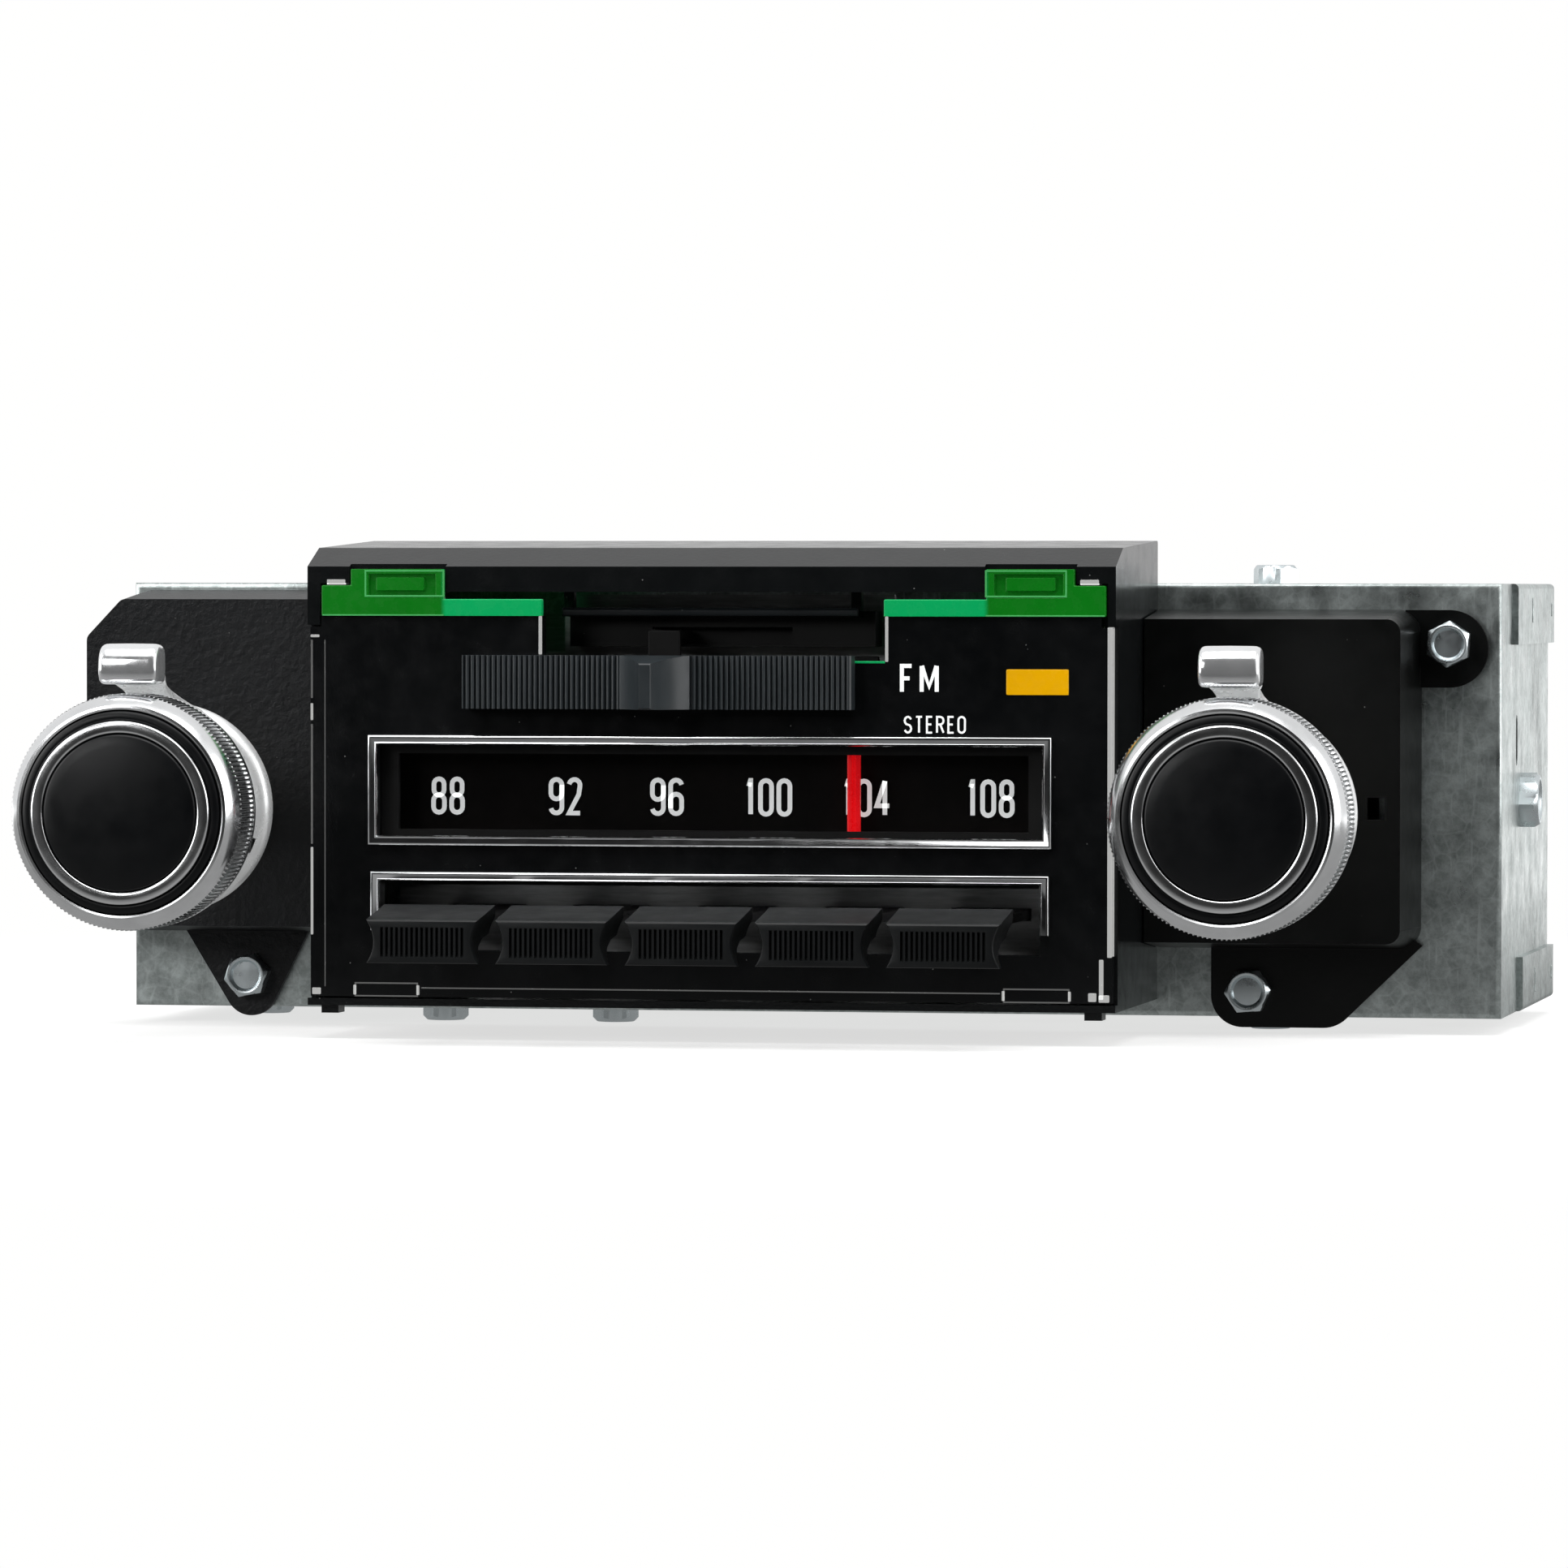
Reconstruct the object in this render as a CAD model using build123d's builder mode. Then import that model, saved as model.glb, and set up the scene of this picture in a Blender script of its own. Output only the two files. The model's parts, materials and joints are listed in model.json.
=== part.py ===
from build123d import *
from math import asin, cos, sin
import os

# Pushbutton AM/FM car radio with two concentric controls.
# Frame: X to the right seen from the front, Y from the front to the back, Z up.
# The origin is midway between the two control shafts, on the front face of the dial plate.
# All lengths are millimetres.

# ---- driving dimensions -------------------------------------------------------------
SHAFT_X = 84.0             # each control shaft stands this far from the middle
SHEET = 1.0                # steel sheet of the case
GAP = 0.3                  # clearance between pieces that only pass each other

CASE_LEFT = -102.6
CASE_RIGHT = 117.0
CASE_FRONT = 44.6
CASE_BACK = 119.6
CASE_BOTTOM = -33.0
CASE_TOP = 34.8
TOP_COVER_FRONT = 61.0
BOTTOM_COVER_FRONT = 69.4
COVER_FLANGE = 9.6

PANEL_Y = 28.0             # front face of the two control housings
PANEL_SHEET = 1.2

NOSE_HALF = 63.0
NOSE_BOTTOM = -30.4
NOSE_FRONT_TOP = 37.3
NOSE_BACK_TOP = 41.5
NOSE_WALL = 2.0

PLATE_THICK = 2.5
WINDOW_HALF = 51.8         # dial window, half width
WINDOW_LOW = -4.1
WINDOW_HIGH = 9.9
SLOT_HALF = 51.4           # pushbutton opening, half width
SLOT_LOW = -21.8
SLOT_HIGH = -10.8

SCALE_Y = 8.0              # front face of the printed dial scale
RAIL_Y = 12.0
RAIL_Z = 13.4
RAIL_R = 0.9

BUTTON_COUNT = 5
BUTTON_PITCH = 20.0
BUTTON_WIDTH = 17.4
BUTTON_FRONT = -21.0
BUTTON_LOW = -22.9
BUTTON_HIGH = -16.3
SLIDE_LOW = -17.2
SLIDE_HIGH = -15.8
SLIDE_BACK = 50.0

SHAFT_R = 2.0              # inner shaft of a concentric control
SLEEVE_R = 3.4             # outer shaft of a concentric control
BUSHING_R = 4.76           # 3/8 inch threaded bushing
RUN = 0.05                 # running clearance on a radius
KNOB_R = 18.2
KNOB_FRONT = -32.7
KNOB_BACK = -20.0
LEVER_R = 16.2

SPINDLE_R = 3.2            # cord spindle on the tuning shaft
SPINDLE_Y = 50.0
PULLEY_R = 3.5
PULLEY_X = 53.0
PULLEY_Z = 18.8
CORD_R = 0.3
CORD_Y = 12.0              # plane of the pointer's cord loop
POINTER_X = 21.8

CORE_TRAVEL = 20.0
CORE_REST = 97.0           # middle of the core rack at rest
SCREW_END = 108.0

os.makedirs("parts", exist_ok=True)


def save(name, label):
    """Name a finished piece and write it to its own file."""
    name.part.label = label
    export_step(name.part, f"parts/{label}.step")


def front_plane(y):
    """A plane facing the front at depth y: its sketch uses X and Z, and a negative extrusion goes back."""
    return Plane.XZ.offset(-y)


def rect(low_x, high_x, low_y, high_y, mode=Mode.ADD):
    """A rectangle between two pairs of edges, in the sketch that is open."""
    with Locations(((low_x + high_x) / 2, (low_y + high_y) / 2)):
        Rectangle(high_x - low_x, high_y - low_y, mode=mode)


# ---- case: folded frame and two covers ----------------------------------------------
BRACKET_SCREWS = ((-83.4, -27.9), (109.0, 25.4), (77.7, -28.9))
BOTTOM_SCREWS = ((-88.0, 76.0), (-55.0, 60.0), (-27.0, 60.0), (79.0, 60.0), (-88.0, 112.0), (104.0, 112.0))
TOP_SCREW = (77.0, 80.0)
ANTENNA = (102.0, 14.0)
SOCKET_X = (49.0, 79.0)
SOCKET_Z = (-4.0, 9.0)
SOCKET_HALF = 13.0
SIDE_BOLT = (76.8, 0.4)
SIDE_BOLT_R = 2.4
REAR_STUD = (-94.0, 0.0)
REAR_STUD_R = 3.175

with BuildPart() as chassis_frame:
    with BuildSketch(Plane.XY.offset(CASE_BOTTOM + SHEET)):
        rect(CASE_LEFT, CASE_RIGHT, CASE_FRONT, CASE_BACK)
        rect(CASE_LEFT + SHEET, CASE_RIGHT - SHEET, CASE_FRONT + SHEET, CASE_BACK - SHEET, mode=Mode.SUBTRACT)
    extrude(amount=CASE_TOP - CASE_BOTTOM - 2 * SHEET)
    with BuildSketch(Plane.XY.offset(CASE_TOP - SHEET)):
        rect(CASE_LEFT, CASE_RIGHT, CASE_FRONT, TOP_COVER_FRONT)
    extrude(amount=SHEET)
    with BuildSketch(Plane.XY.offset(CASE_BOTTOM)):
        rect(CASE_LEFT, CASE_RIGHT, CASE_FRONT, BOTTOM_COVER_FRONT)
    extrude(amount=SHEET)
    with BuildSketch(front_plane(CASE_FRONT)):
        rect(-56.0, 58.5, -28.0, 30.0)
        with Locations((-SHAFT_X, 0), (SHAFT_X, 0)):
            Circle(14.0)
        with Locations(*BRACKET_SCREWS):
            Circle(1.6)
    extrude(amount=-SHEET, mode=Mode.SUBTRACT)
    with BuildSketch(front_plane(CASE_BACK - SHEET)):
        for socket_x in SOCKET_X:
            rect(socket_x - SOCKET_HALF + 1, socket_x + SOCKET_HALF - 1, *SOCKET_Z)
        with Locations(ANTENNA):
            Circle(6.0)
        with Locations(REAR_STUD):
            Circle(REAR_STUD_R)
    extrude(amount=-SHEET, mode=Mode.SUBTRACT)
    with BuildSketch(Plane.YZ.offset(CASE_RIGHT - SHEET)):
        with Locations(SIDE_BOLT):
            Circle(SIDE_BOLT_R)
        with Locations((68.5, 10.0)):
            SlotOverall(8.0, 2.4, rotation=90)
    extrude(amount=SHEET, mode=Mode.SUBTRACT)
    with BuildSketch(Plane.XY.offset(CASE_BOTTOM)):
        with Locations(*[spot for spot in BOTTOM_SCREWS if spot[1] < BOTTOM_COVER_FRONT]):
            Circle(1.6)
    extrude(amount=SHEET, mode=Mode.SUBTRACT)
    front_rim = chassis_frame.edges().group_by(Axis.Y)[0].filter_by(lambda edge: edge.length > 60)
    sides = chassis_frame.edges().filter_by(Axis.Z).group_by(Axis.Y)[0]
    outer = [sides.sort_by(Axis.X)[0], sides.sort_by(Axis.X)[-1]]
    rows = front_rim.filter_by(Axis.X)
    outer += [rows.sort_by(Axis.Z)[0], rows.sort_by(Axis.Z)[-1]]
    fillet(outer, 0.8)
save(chassis_frame, "chassis_frame")

with BuildPart() as top_cover:
    with BuildSketch(Plane.XY.offset(CASE_TOP - SHEET)):
        rect(CASE_LEFT, CASE_RIGHT, TOP_COVER_FRONT, CASE_BACK)
    extrude(amount=SHEET)
    with BuildSketch(Plane.XY.offset(CASE_TOP - COVER_FLANGE)):
        rect(CASE_LEFT - SHEET, CASE_LEFT, TOP_COVER_FRONT, CASE_BACK)
        rect(CASE_RIGHT, CASE_RIGHT + SHEET, TOP_COVER_FRONT, CASE_BACK)
    extrude(amount=COVER_FLANGE)
    with BuildSketch(Plane.XY.offset(CASE_TOP - SHEET)):
        with Locations(TOP_SCREW):
            Circle(1.6)
    extrude(amount=SHEET, mode=Mode.SUBTRACT)
    fillet(top_cover.edges().filter_by(Axis.Y).sort_by(Axis.Z)[-2:], 0.8)
save(top_cover, "top_cover")

with BuildPart() as bottom_cover:
    with BuildSketch(Plane.XY.offset(CASE_BOTTOM)):
        rect(CASE_LEFT, CASE_RIGHT, BOTTOM_COVER_FRONT, CASE_BACK)
    extrude(amount=SHEET)
    with BuildSketch(Plane.XY.offset(CASE_BOTTOM)):
        rect(CASE_LEFT - SHEET, CASE_LEFT, BOTTOM_COVER_FRONT, CASE_BACK)
        rect(CASE_RIGHT, CASE_RIGHT + SHEET, BOTTOM_COVER_FRONT, CASE_BACK)
    extrude(amount=COVER_FLANGE - 1.0)
    with BuildSketch(Plane.XY.offset(CASE_BOTTOM)):
        with Locations(*[spot for spot in BOTTOM_SCREWS if spot[1] > BOTTOM_COVER_FRONT]):
            Circle(1.6)
    extrude(amount=SHEET, mode=Mode.SUBTRACT)
    fillet(bottom_cover.edges().filter_by(Axis.Y).sort_by(Axis.Z)[:2], 0.8)
save(bottom_cover, "bottom_cover")

# ---- hexagon-headed screws ----------------------------------------------------------
HEX_ACROSS = 6.35
HEAD_HIGH = 3.0
SCREW_LONG = 6.0

with BuildPart() as bracket_screws:
    for screw_x, screw_z in BRACKET_SCREWS:
        with BuildSketch(front_plane(CASE_FRONT - PANEL_SHEET - HEAD_HIGH)):
            with Locations((screw_x, screw_z)):
                RegularPolygon(HEX_ACROSS / 2, 6, major_radius=False)
        extrude(amount=-HEAD_HIGH)
        with BuildSketch(front_plane(CASE_FRONT - PANEL_SHEET)):
            with Locations((screw_x, screw_z)):
                Circle(1.5)
        extrude(amount=-SCREW_LONG)
        with BuildSketch(front_plane(CASE_FRONT - PANEL_SHEET - HEAD_HIGH)):
            with Locations((screw_x, screw_z)):
                Circle(2.1)
        extrude(amount=-0.8, mode=Mode.SUBTRACT)
save(bracket_screws, "bracket_screws")

with BuildPart() as cover_screws:
    with BuildSketch(Plane.XY.offset(CASE_BOTTOM - 2.6)):
        with Locations(*BOTTOM_SCREWS):
            RegularPolygon(HEX_ACROSS / 2, 6, major_radius=False)
    extrude(amount=2.6)
    with BuildSketch(Plane.XY.offset(CASE_BOTTOM)):
        with Locations(*BOTTOM_SCREWS):
            Circle(1.5)
    extrude(amount=4.0)
    with BuildSketch(Plane.XY.offset(CASE_TOP)):
        with Locations(TOP_SCREW):
            RegularPolygon(HEX_ACROSS / 2, 6, major_radius=False)
    extrude(amount=HEAD_HIGH)
    with BuildSketch(Plane.XY.offset(CASE_TOP - 4.0)):
        with Locations(TOP_SCREW):
            Circle(1.5)
    extrude(amount=4.0)
save(cover_screws, "cover_screws")

with BuildPart() as support_studs:
    with BuildSketch(Plane.YZ.offset(CASE_RIGHT)):
        with Locations(SIDE_BOLT):
            RegularPolygon(4.0, 6, major_radius=False)
    extrude(amount=3.0)
    with BuildSketch(Plane.YZ.offset(CASE_RIGHT - 6.0)):
        with Locations(SIDE_BOLT):
            Circle(SIDE_BOLT_R)
    extrude(amount=6.0)
    with BuildSketch(front_plane(CASE_BACK - SHEET - 2.5)):
        with Locations(REAR_STUD):
            Circle(REAR_STUD_R + 2.0)
    extrude(amount=-2.5)
    with BuildSketch(front_plane(CASE_BACK - SHEET)):
        with Locations(REAR_STUD):
            Circle(REAR_STUD_R)
    extrude(amount=-16.0)
    with BuildSketch(front_plane(CASE_BACK)):
        with Locations(REAR_STUD):
            RegularPolygon(5.5, 6, major_radius=False)
    extrude(amount=-4.0)
save(support_studs, "support_studs")

# ---- rear: heat sink, output transistors, sockets --------------------------------------
SINK_LEFT = -84.0
SINK_RIGHT = 22.0
SINK_LOW = -24.0
SINK_HIGH = 26.0
SINK_BASE = 3.0
FIN_DEEP = 13.0
FIN_THICK = 1.6
TRANSISTOR_X = (-50.0, -12.0)

with BuildPart() as heat_sink:
    with BuildSketch(front_plane(CASE_BACK)):
        rect(SINK_LEFT, SINK_RIGHT, SINK_LOW, SINK_HIGH)
    extrude(amount=-SINK_BASE)
    with BuildSketch(front_plane(CASE_BACK + SINK_BASE)):
        for fin in range(3):
            left_fin = SINK_LEFT + fin * 6.0
            right_fin = SINK_RIGHT - fin * 6.0
            rect(left_fin, left_fin + FIN_THICK, SINK_LOW, SINK_HIGH)
            rect(right_fin - FIN_THICK, right_fin, SINK_LOW, SINK_HIGH)
        middle = (TRANSISTOR_X[0] + TRANSISTOR_X[1]) / 2
        rect(middle - FIN_THICK / 2, middle + FIN_THICK / 2, SINK_LOW, SINK_HIGH)
    extrude(amount=-FIN_DEEP)
save(heat_sink, "heat_sink")

with BuildPart() as power_transistors:
    for can_x in TRANSISTOR_X:
        with BuildSketch(front_plane(CASE_BACK + SINK_BASE)):
            with Locations((can_x, 1.0)):
                Circle(11.5)
            with Locations((can_x, 1.0 - 15.1), (can_x, 1.0 + 15.1)):
                Circle(4.2)
            make_hull()
        extrude(amount=-1.6)
        with BuildSketch(front_plane(CASE_BACK + SINK_BASE + 1.6)):
            with Locations((can_x, 1.0)):
                Circle(10.0)
        extrude(amount=-6.0)
    fillet(power_transistors.edges().group_by(Axis.Y)[-1], 0.8)
save(power_transistors, "power_transistors")

ANTENNA_DEEP = 16.0
ANTENNA_R = 4.55
with BuildPart() as antenna_socket:
    with BuildSketch(front_plane(CASE_BACK + 3.0 - ANTENNA_DEEP - 1.5)):
        with Locations(ANTENNA):
            Circle(6.0 - RUN)
    extrude(amount=-(ANTENNA_DEEP + 1.5))
    with BuildSketch(front_plane(CASE_BACK)):
        with Locations(ANTENNA):
            RectangleRounded(17.0, 17.0, 3.0)
    extrude(amount=-1.2)
    with BuildSketch(front_plane(CASE_BACK + 3.0 - ANTENNA_DEEP)):
        with Locations(ANTENNA):
            Circle(ANTENNA_R)
    extrude(amount=-ANTENNA_DEEP, mode=Mode.SUBTRACT)
save(antenna_socket, "antenna_socket")

SOCKET_DEEP = 15.0
SOCKET_BACK = CASE_BACK + 7.0
with BuildPart() as rear_sockets:
    for socket_x in SOCKET_X:
        with BuildSketch(front_plane(SOCKET_BACK - SOCKET_DEEP)):
            rect(socket_x - SOCKET_HALF + 1, socket_x + SOCKET_HALF - 1, *SOCKET_Z)
        extrude(amount=-SOCKET_DEEP)
        with BuildSketch(front_plane(CASE_BACK)):
            rect(socket_x - SOCKET_HALF, socket_x + SOCKET_HALF, SOCKET_Z[0] - 2, SOCKET_Z[1] + 2)
        extrude(amount=-1.2)
        with BuildSketch(front_plane(SOCKET_BACK - SOCKET_DEEP + 2.0)):
            rect(socket_x - SOCKET_HALF + 2.6, socket_x + SOCKET_HALF - 2.6, SOCKET_Z[0] + 1.6, SOCKET_Z[1] - 1.6)
        extrude(amount=-SOCKET_DEEP, mode=Mode.SUBTRACT)
        with BuildSketch(front_plane(SOCKET_BACK - SOCKET_DEEP)):
            for blade in range(4):
                blade_x = socket_x - 7.5 + blade * 5.0
                rect(blade_x - 0.4, blade_x + 0.4, 0.5, 4.5)
        extrude(amount=-7.0)
save(rear_sockets, "rear_sockets")

# ---- control housings ---------------------------------------------------------------
PANEL_DRAFT = 5.0            # how far each housing widens towards the case, degrees
NOSE_SIDE = 63.3             # the housings stop here, just outside the nose
LEFT_LOW = -19.5

with BuildPart() as left_control_housing:
    with BuildSketch(front_plane(PANEL_Y)):
        with BuildLine():
            outline = FilletPolyline(
                (-106.0, LEFT_LOW), (-61.0, LEFT_LOW), (-61.0, 32.2), (-100.3, 32.2), (-106.0, 26.2),
                radius=1.5, close=True,
            )
        make_face()
    extrude(amount=-(CASE_FRONT - PANEL_Y), taper=-PANEL_DRAFT)
    with BuildSketch(front_plane(PANEL_Y + PANEL_SHEET)):
        with BuildLine():
            Polyline(
                (-106.0 + PANEL_SHEET, LEFT_LOW + PANEL_SHEET), (-62.0, LEFT_LOW + PANEL_SHEET),
                (-62.0, 32.2 - PANEL_SHEET), (-99.8, 32.2 - PANEL_SHEET), (-106.0 + PANEL_SHEET, 25.7),
                close=True,
            )
        make_face()
    extrude(amount=-(CASE_FRONT - PANEL_Y), mode=Mode.SUBTRACT)
    with BuildSketch(front_plane(PANEL_Y)):
        rect(-NOSE_SIDE, -50.0, -30.0, 40.0)
    extrude(amount=-(CASE_FRONT - PANEL_Y), mode=Mode.SUBTRACT)
    with BuildSketch(front_plane(CASE_FRONT - PANEL_SHEET)) as lug:
        with BuildLine():
            Polyline((-94.6, LEFT_LOW), (-73.0, LEFT_LOW), (-82.75, -38.9), close=True)
        make_face()
        fillet(lug.vertices().sort_by(Axis.Y)[:1], 4.25)
        with Locations(BRACKET_SCREWS[0]):
            Circle(1.6, mode=Mode.SUBTRACT)
    extrude(amount=-PANEL_SHEET)
    with BuildSketch(front_plane(PANEL_Y)):
        with Locations((-SHAFT_X, 0)):
            Circle(BUSHING_R + 0.1)
    extrude(amount=-PANEL_SHEET, mode=Mode.SUBTRACT)
save(left_control_housing, "left_control_housing")

RIGHT_EDGE = 103.1
RIGHT_LOW = -20.8
RIGHT_HIGH = 29.3
with BuildPart() as right_control_housing:
    with BuildSketch(front_plane(PANEL_Y)):
        with BuildLine():
            FilletPolyline(
                (61.0, RIGHT_LOW), (RIGHT_EDGE, RIGHT_LOW), (RIGHT_EDGE, RIGHT_HIGH), (61.0, RIGHT_HIGH),
                radius=2.2, close=True,
            )
        make_face()
    extrude(amount=-(CASE_FRONT - PANEL_Y), taper=-PANEL_DRAFT)
    with BuildSketch(front_plane(PANEL_Y + PANEL_SHEET)):
        rect(62.0, RIGHT_EDGE - PANEL_SHEET, RIGHT_LOW + PANEL_SHEET, RIGHT_HIGH - PANEL_SHEET)
    extrude(amount=-(CASE_FRONT - PANEL_Y), mode=Mode.SUBTRACT)
    with BuildSketch(front_plane(PANEL_Y)):
        rect(50.0, NOSE_SIDE, -30.0, 40.0)
    extrude(amount=-(CASE_FRONT - PANEL_Y), mode=Mode.SUBTRACT)
    with BuildSketch(front_plane(CASE_FRONT - PANEL_SHEET)) as lugs:
        with BuildLine():
            Polyline(
                (71.7, RIGHT_LOW + 0.5), (71.7, -34.6), (91.4, -34.6), (104.9, -21.6), (103.0, RIGHT_LOW + 0.5),
                close=True,
            )
        make_face()
        fillet(lugs.vertices().sort_by(Axis.Y)[:2], 5.0)
        rect(RIGHT_EDGE - 1.0, BRACKET_SCREWS[1][0], 18.6, 30.7)
        with Locations((BRACKET_SCREWS[1][0], 24.65)):
            Circle(6.05)
        with Locations(*BRACKET_SCREWS[1:]):
            Circle(1.6, mode=Mode.SUBTRACT)
    extrude(amount=-PANEL_SHEET)
    with BuildSketch(front_plane(PANEL_Y)):
        with Locations((SHAFT_X, 0)):
            Circle(BUSHING_R + 0.1)
        rect(98.0, 100.8, -1.6, 1.8)
    extrude(amount=-PANEL_SHEET, mode=Mode.SUBTRACT)
save(right_control_housing, "right_control_housing")

# ---- nose housing, dial plate and what is on it ---------------------------------------
HEADER_LOW = 33.4
PLATE_LOW = -29.0
PLATE_HIGH = 28.0
PLATE_TONGUE = 29.7
NOTCH_LEFT = -25.9
NOTCH_RIGHT = 27.4
NOTCH_LOW = 22.8
# each green lamp filter in X: outer end, outer and inner end of its raised tab, inner end of its strip
FILTERS = {
    "green_filter_left": (-60.6, -56.0, -41.4, NOTCH_LEFT),
    "green_filter_right": (61.5, 56.7, 43.2, NOTCH_RIGHT),
}
FILTER_FRONT = -0.6
FILTER_THICK = 1.5
FILTER_BODY = 34.4
FILTER_TAB = 36.9
FILTER_STRIP = 32.3

with BuildPart() as nose_housing:
    with BuildSketch(Plane.YZ.offset(-NOSE_HALF)):
        with BuildLine():
            Polyline(
                (0, NOSE_BOTTOM), (CASE_FRONT, NOSE_BOTTOM), (CASE_FRONT, NOSE_BACK_TOP),
                (7.5, 40.2), (0, NOSE_FRONT_TOP), close=True,
            )
        make_face()
    extrude(amount=2 * NOSE_HALF)
    with BuildSketch(Plane.YZ.offset(-NOSE_HALF + NOSE_WALL)):
        with BuildLine():
            Polyline(
                (-1, PLATE_LOW - GAP), (CASE_FRONT + 1, PLATE_LOW - GAP), (CASE_FRONT + 1, NOSE_BACK_TOP - 2.0),
                (7.5, 38.2), (3.0, 36.4), (3.0, HEADER_LOW), (-1, HEADER_LOW), close=True,
            )
        make_face()
    extrude(amount=2 * (NOSE_HALF - NOSE_WALL), mode=Mode.SUBTRACT)
    with BuildSketch(front_plane(-1.0)):
        rect(-NOSE_HALF - 1, NOSE_HALF + 1, PLATE_LOW - GAP, PLATE_HIGH + GAP)
    extrude(amount=-(1.0 + PLATE_THICK), mode=Mode.SUBTRACT)
    with BuildSketch(front_plane(-1.0)):
        for outer, tab_outer, tab_inner, _ in FILTERS.values():
            side = GAP if outer > 0 else -GAP
            rect(*sorted((tab_outer + side, tab_inner - side)), 25.0, NOSE_FRONT_TOP + 1)
            rect(*sorted((outer + side, tab_outer)), 25.0, FILTER_BODY + GAP)
    extrude(amount=-2.0, mode=Mode.SUBTRACT)
    with BuildSketch(front_plane(0.4)):
        rect(-60.9, -58.2, -31.6, NOSE_BOTTOM + 0.5)
        rect(58.2, 60.9, -31.6, NOSE_BOTTOM + 0.5)
    extrude(amount=-4.0)
    with BuildSketch(front_plane(8.0)):
        rect(-24.5, 22.2, 29.6, 31.0)
    extrude(amount=-1.2)
    with BuildSketch(front_plane(9.2)):
        rect(-24.5, -22.9, 29.6, 39.0)
        rect(20.6, 22.2, 29.6, 39.0)
    extrude(amount=-1.6)
    fillet(nose_housing.edges().filter_by(Axis.X).sort_by(Axis.Z)[-1:], 0.6)
save(nose_housing, "nose_housing")

NECK_SLOT = 12.6
LENS = (46.2, 55.8, 17.8, 21.7)

with BuildPart() as dial_plate:
    with BuildSketch(front_plane(0)):
        rect(-62.5, 62.5, PLATE_LOW, PLATE_HIGH)
        rect(-60.8, 60.8, PLATE_HIGH - 1, PLATE_TONGUE)
        rect(NOTCH_LEFT, NOTCH_RIGHT, NOTCH_LOW, PLATE_TONGUE + 1, mode=Mode.SUBTRACT)
        rect(-WINDOW_HALF, WINDOW_HALF, WINDOW_LOW, WINDOW_HIGH, mode=Mode.SUBTRACT)
        rect(-SLOT_HALF, SLOT_HALF, SLOT_LOW, SLOT_HIGH, mode=Mode.SUBTRACT)
        rect(-NECK_SLOT, NECK_SLOT, 18.0, 21.0, mode=Mode.SUBTRACT)
        rect(*LENS, mode=Mode.SUBTRACT)
    extrude(amount=-PLATE_THICK)
save(dial_plate, "dial_plate")

BEZEL_RIM = 1.5
with BuildPart() as dial_bezel:
    with BuildSketch(front_plane(-1.0)):
        rect(-WINDOW_HALF - BEZEL_RIM, WINDOW_HALF + BEZEL_RIM, WINDOW_LOW - BEZEL_RIM, WINDOW_HIGH + BEZEL_RIM)
        rect(-WINDOW_HALF, WINDOW_HALF, WINDOW_LOW, WINDOW_HIGH, mode=Mode.SUBTRACT)
    extrude(amount=-1.0)
    with BuildSketch(front_plane(-0.6)):
        rect(-WINDOW_HALF, WINDOW_HALF, WINDOW_LOW, WINDOW_HIGH)
        rect(-WINDOW_HALF + 0.7, WINDOW_HALF - 0.7, WINDOW_LOW + 0.7, WINDOW_HIGH - 0.7, mode=Mode.SUBTRACT)
    extrude(amount=-1.6)
    chamfer(dial_bezel.faces().sort_by(Axis.Y)[0].outer_wire().edges(), 0.4)
save(dial_bezel, "dial_bezel")

with BuildPart() as dial_window:
    with BuildSketch(front_plane(1.1)):
        rect(-WINDOW_HALF, WINDOW_HALF, WINDOW_LOW, WINDOW_HIGH)
    extrude(amount=-(PLATE_THICK - 1.1))
save(dial_window, "dial_window")

with BuildPart() as button_bezel:
    with BuildSketch(front_plane(-1.0)):
        rect(-SLOT_HALF - BEZEL_RIM, SLOT_HALF + BEZEL_RIM, -18.7, SLOT_HIGH + 1.15)
        rect(-SLOT_HALF, SLOT_HALF, -18.8, SLOT_HIGH, mode=Mode.SUBTRACT)
    extrude(amount=-1.0)
    with BuildSketch(front_plane(-0.6)):
        rect(-SLOT_HALF, SLOT_HALF, -18.7, SLOT_HIGH)
        rect(-SLOT_HALF + 0.7, SLOT_HALF - 0.7, -18.8, SLOT_HIGH - 0.7, mode=Mode.SUBTRACT)
    extrude(amount=-(PLATE_THICK + 0.6))
save(button_bezel, "button_bezel")

POCKET = (1.2, 11.8, 32.6, 36.1)      # moulded pocket, from the tab's inner end
ISLAND = (3.0, 10.6, 33.6, 35.6)      # raised island in the pocket
for filter_name, (outer, tab_outer, tab_inner, inner) in FILTERS.items():
    side = 1 if outer > 0 else -1
    with BuildPart() as green_filter:
        with BuildSketch(front_plane(FILTER_FRONT)):
            rect(*sorted((outer, tab_inner)), PLATE_TONGUE, FILTER_BODY)
            rect(*sorted((tab_outer, tab_inner)), PLATE_TONGUE, FILTER_TAB)
            rect(*sorted((tab_inner, inner)), PLATE_TONGUE, FILTER_STRIP)
        extrude(amount=-FILTER_THICK)
        with BuildSketch(front_plane(FILTER_FRONT)):
            for (near, far, low, high), mode in ((POCKET, Mode.ADD), (ISLAND, Mode.SUBTRACT)):
                rect(*sorted((tab_inner + side * near, tab_inner + side * far)), low, high, mode=mode)
        extrude(amount=-0.7, mode=Mode.SUBTRACT)
    save(green_filter, filter_name)

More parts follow.
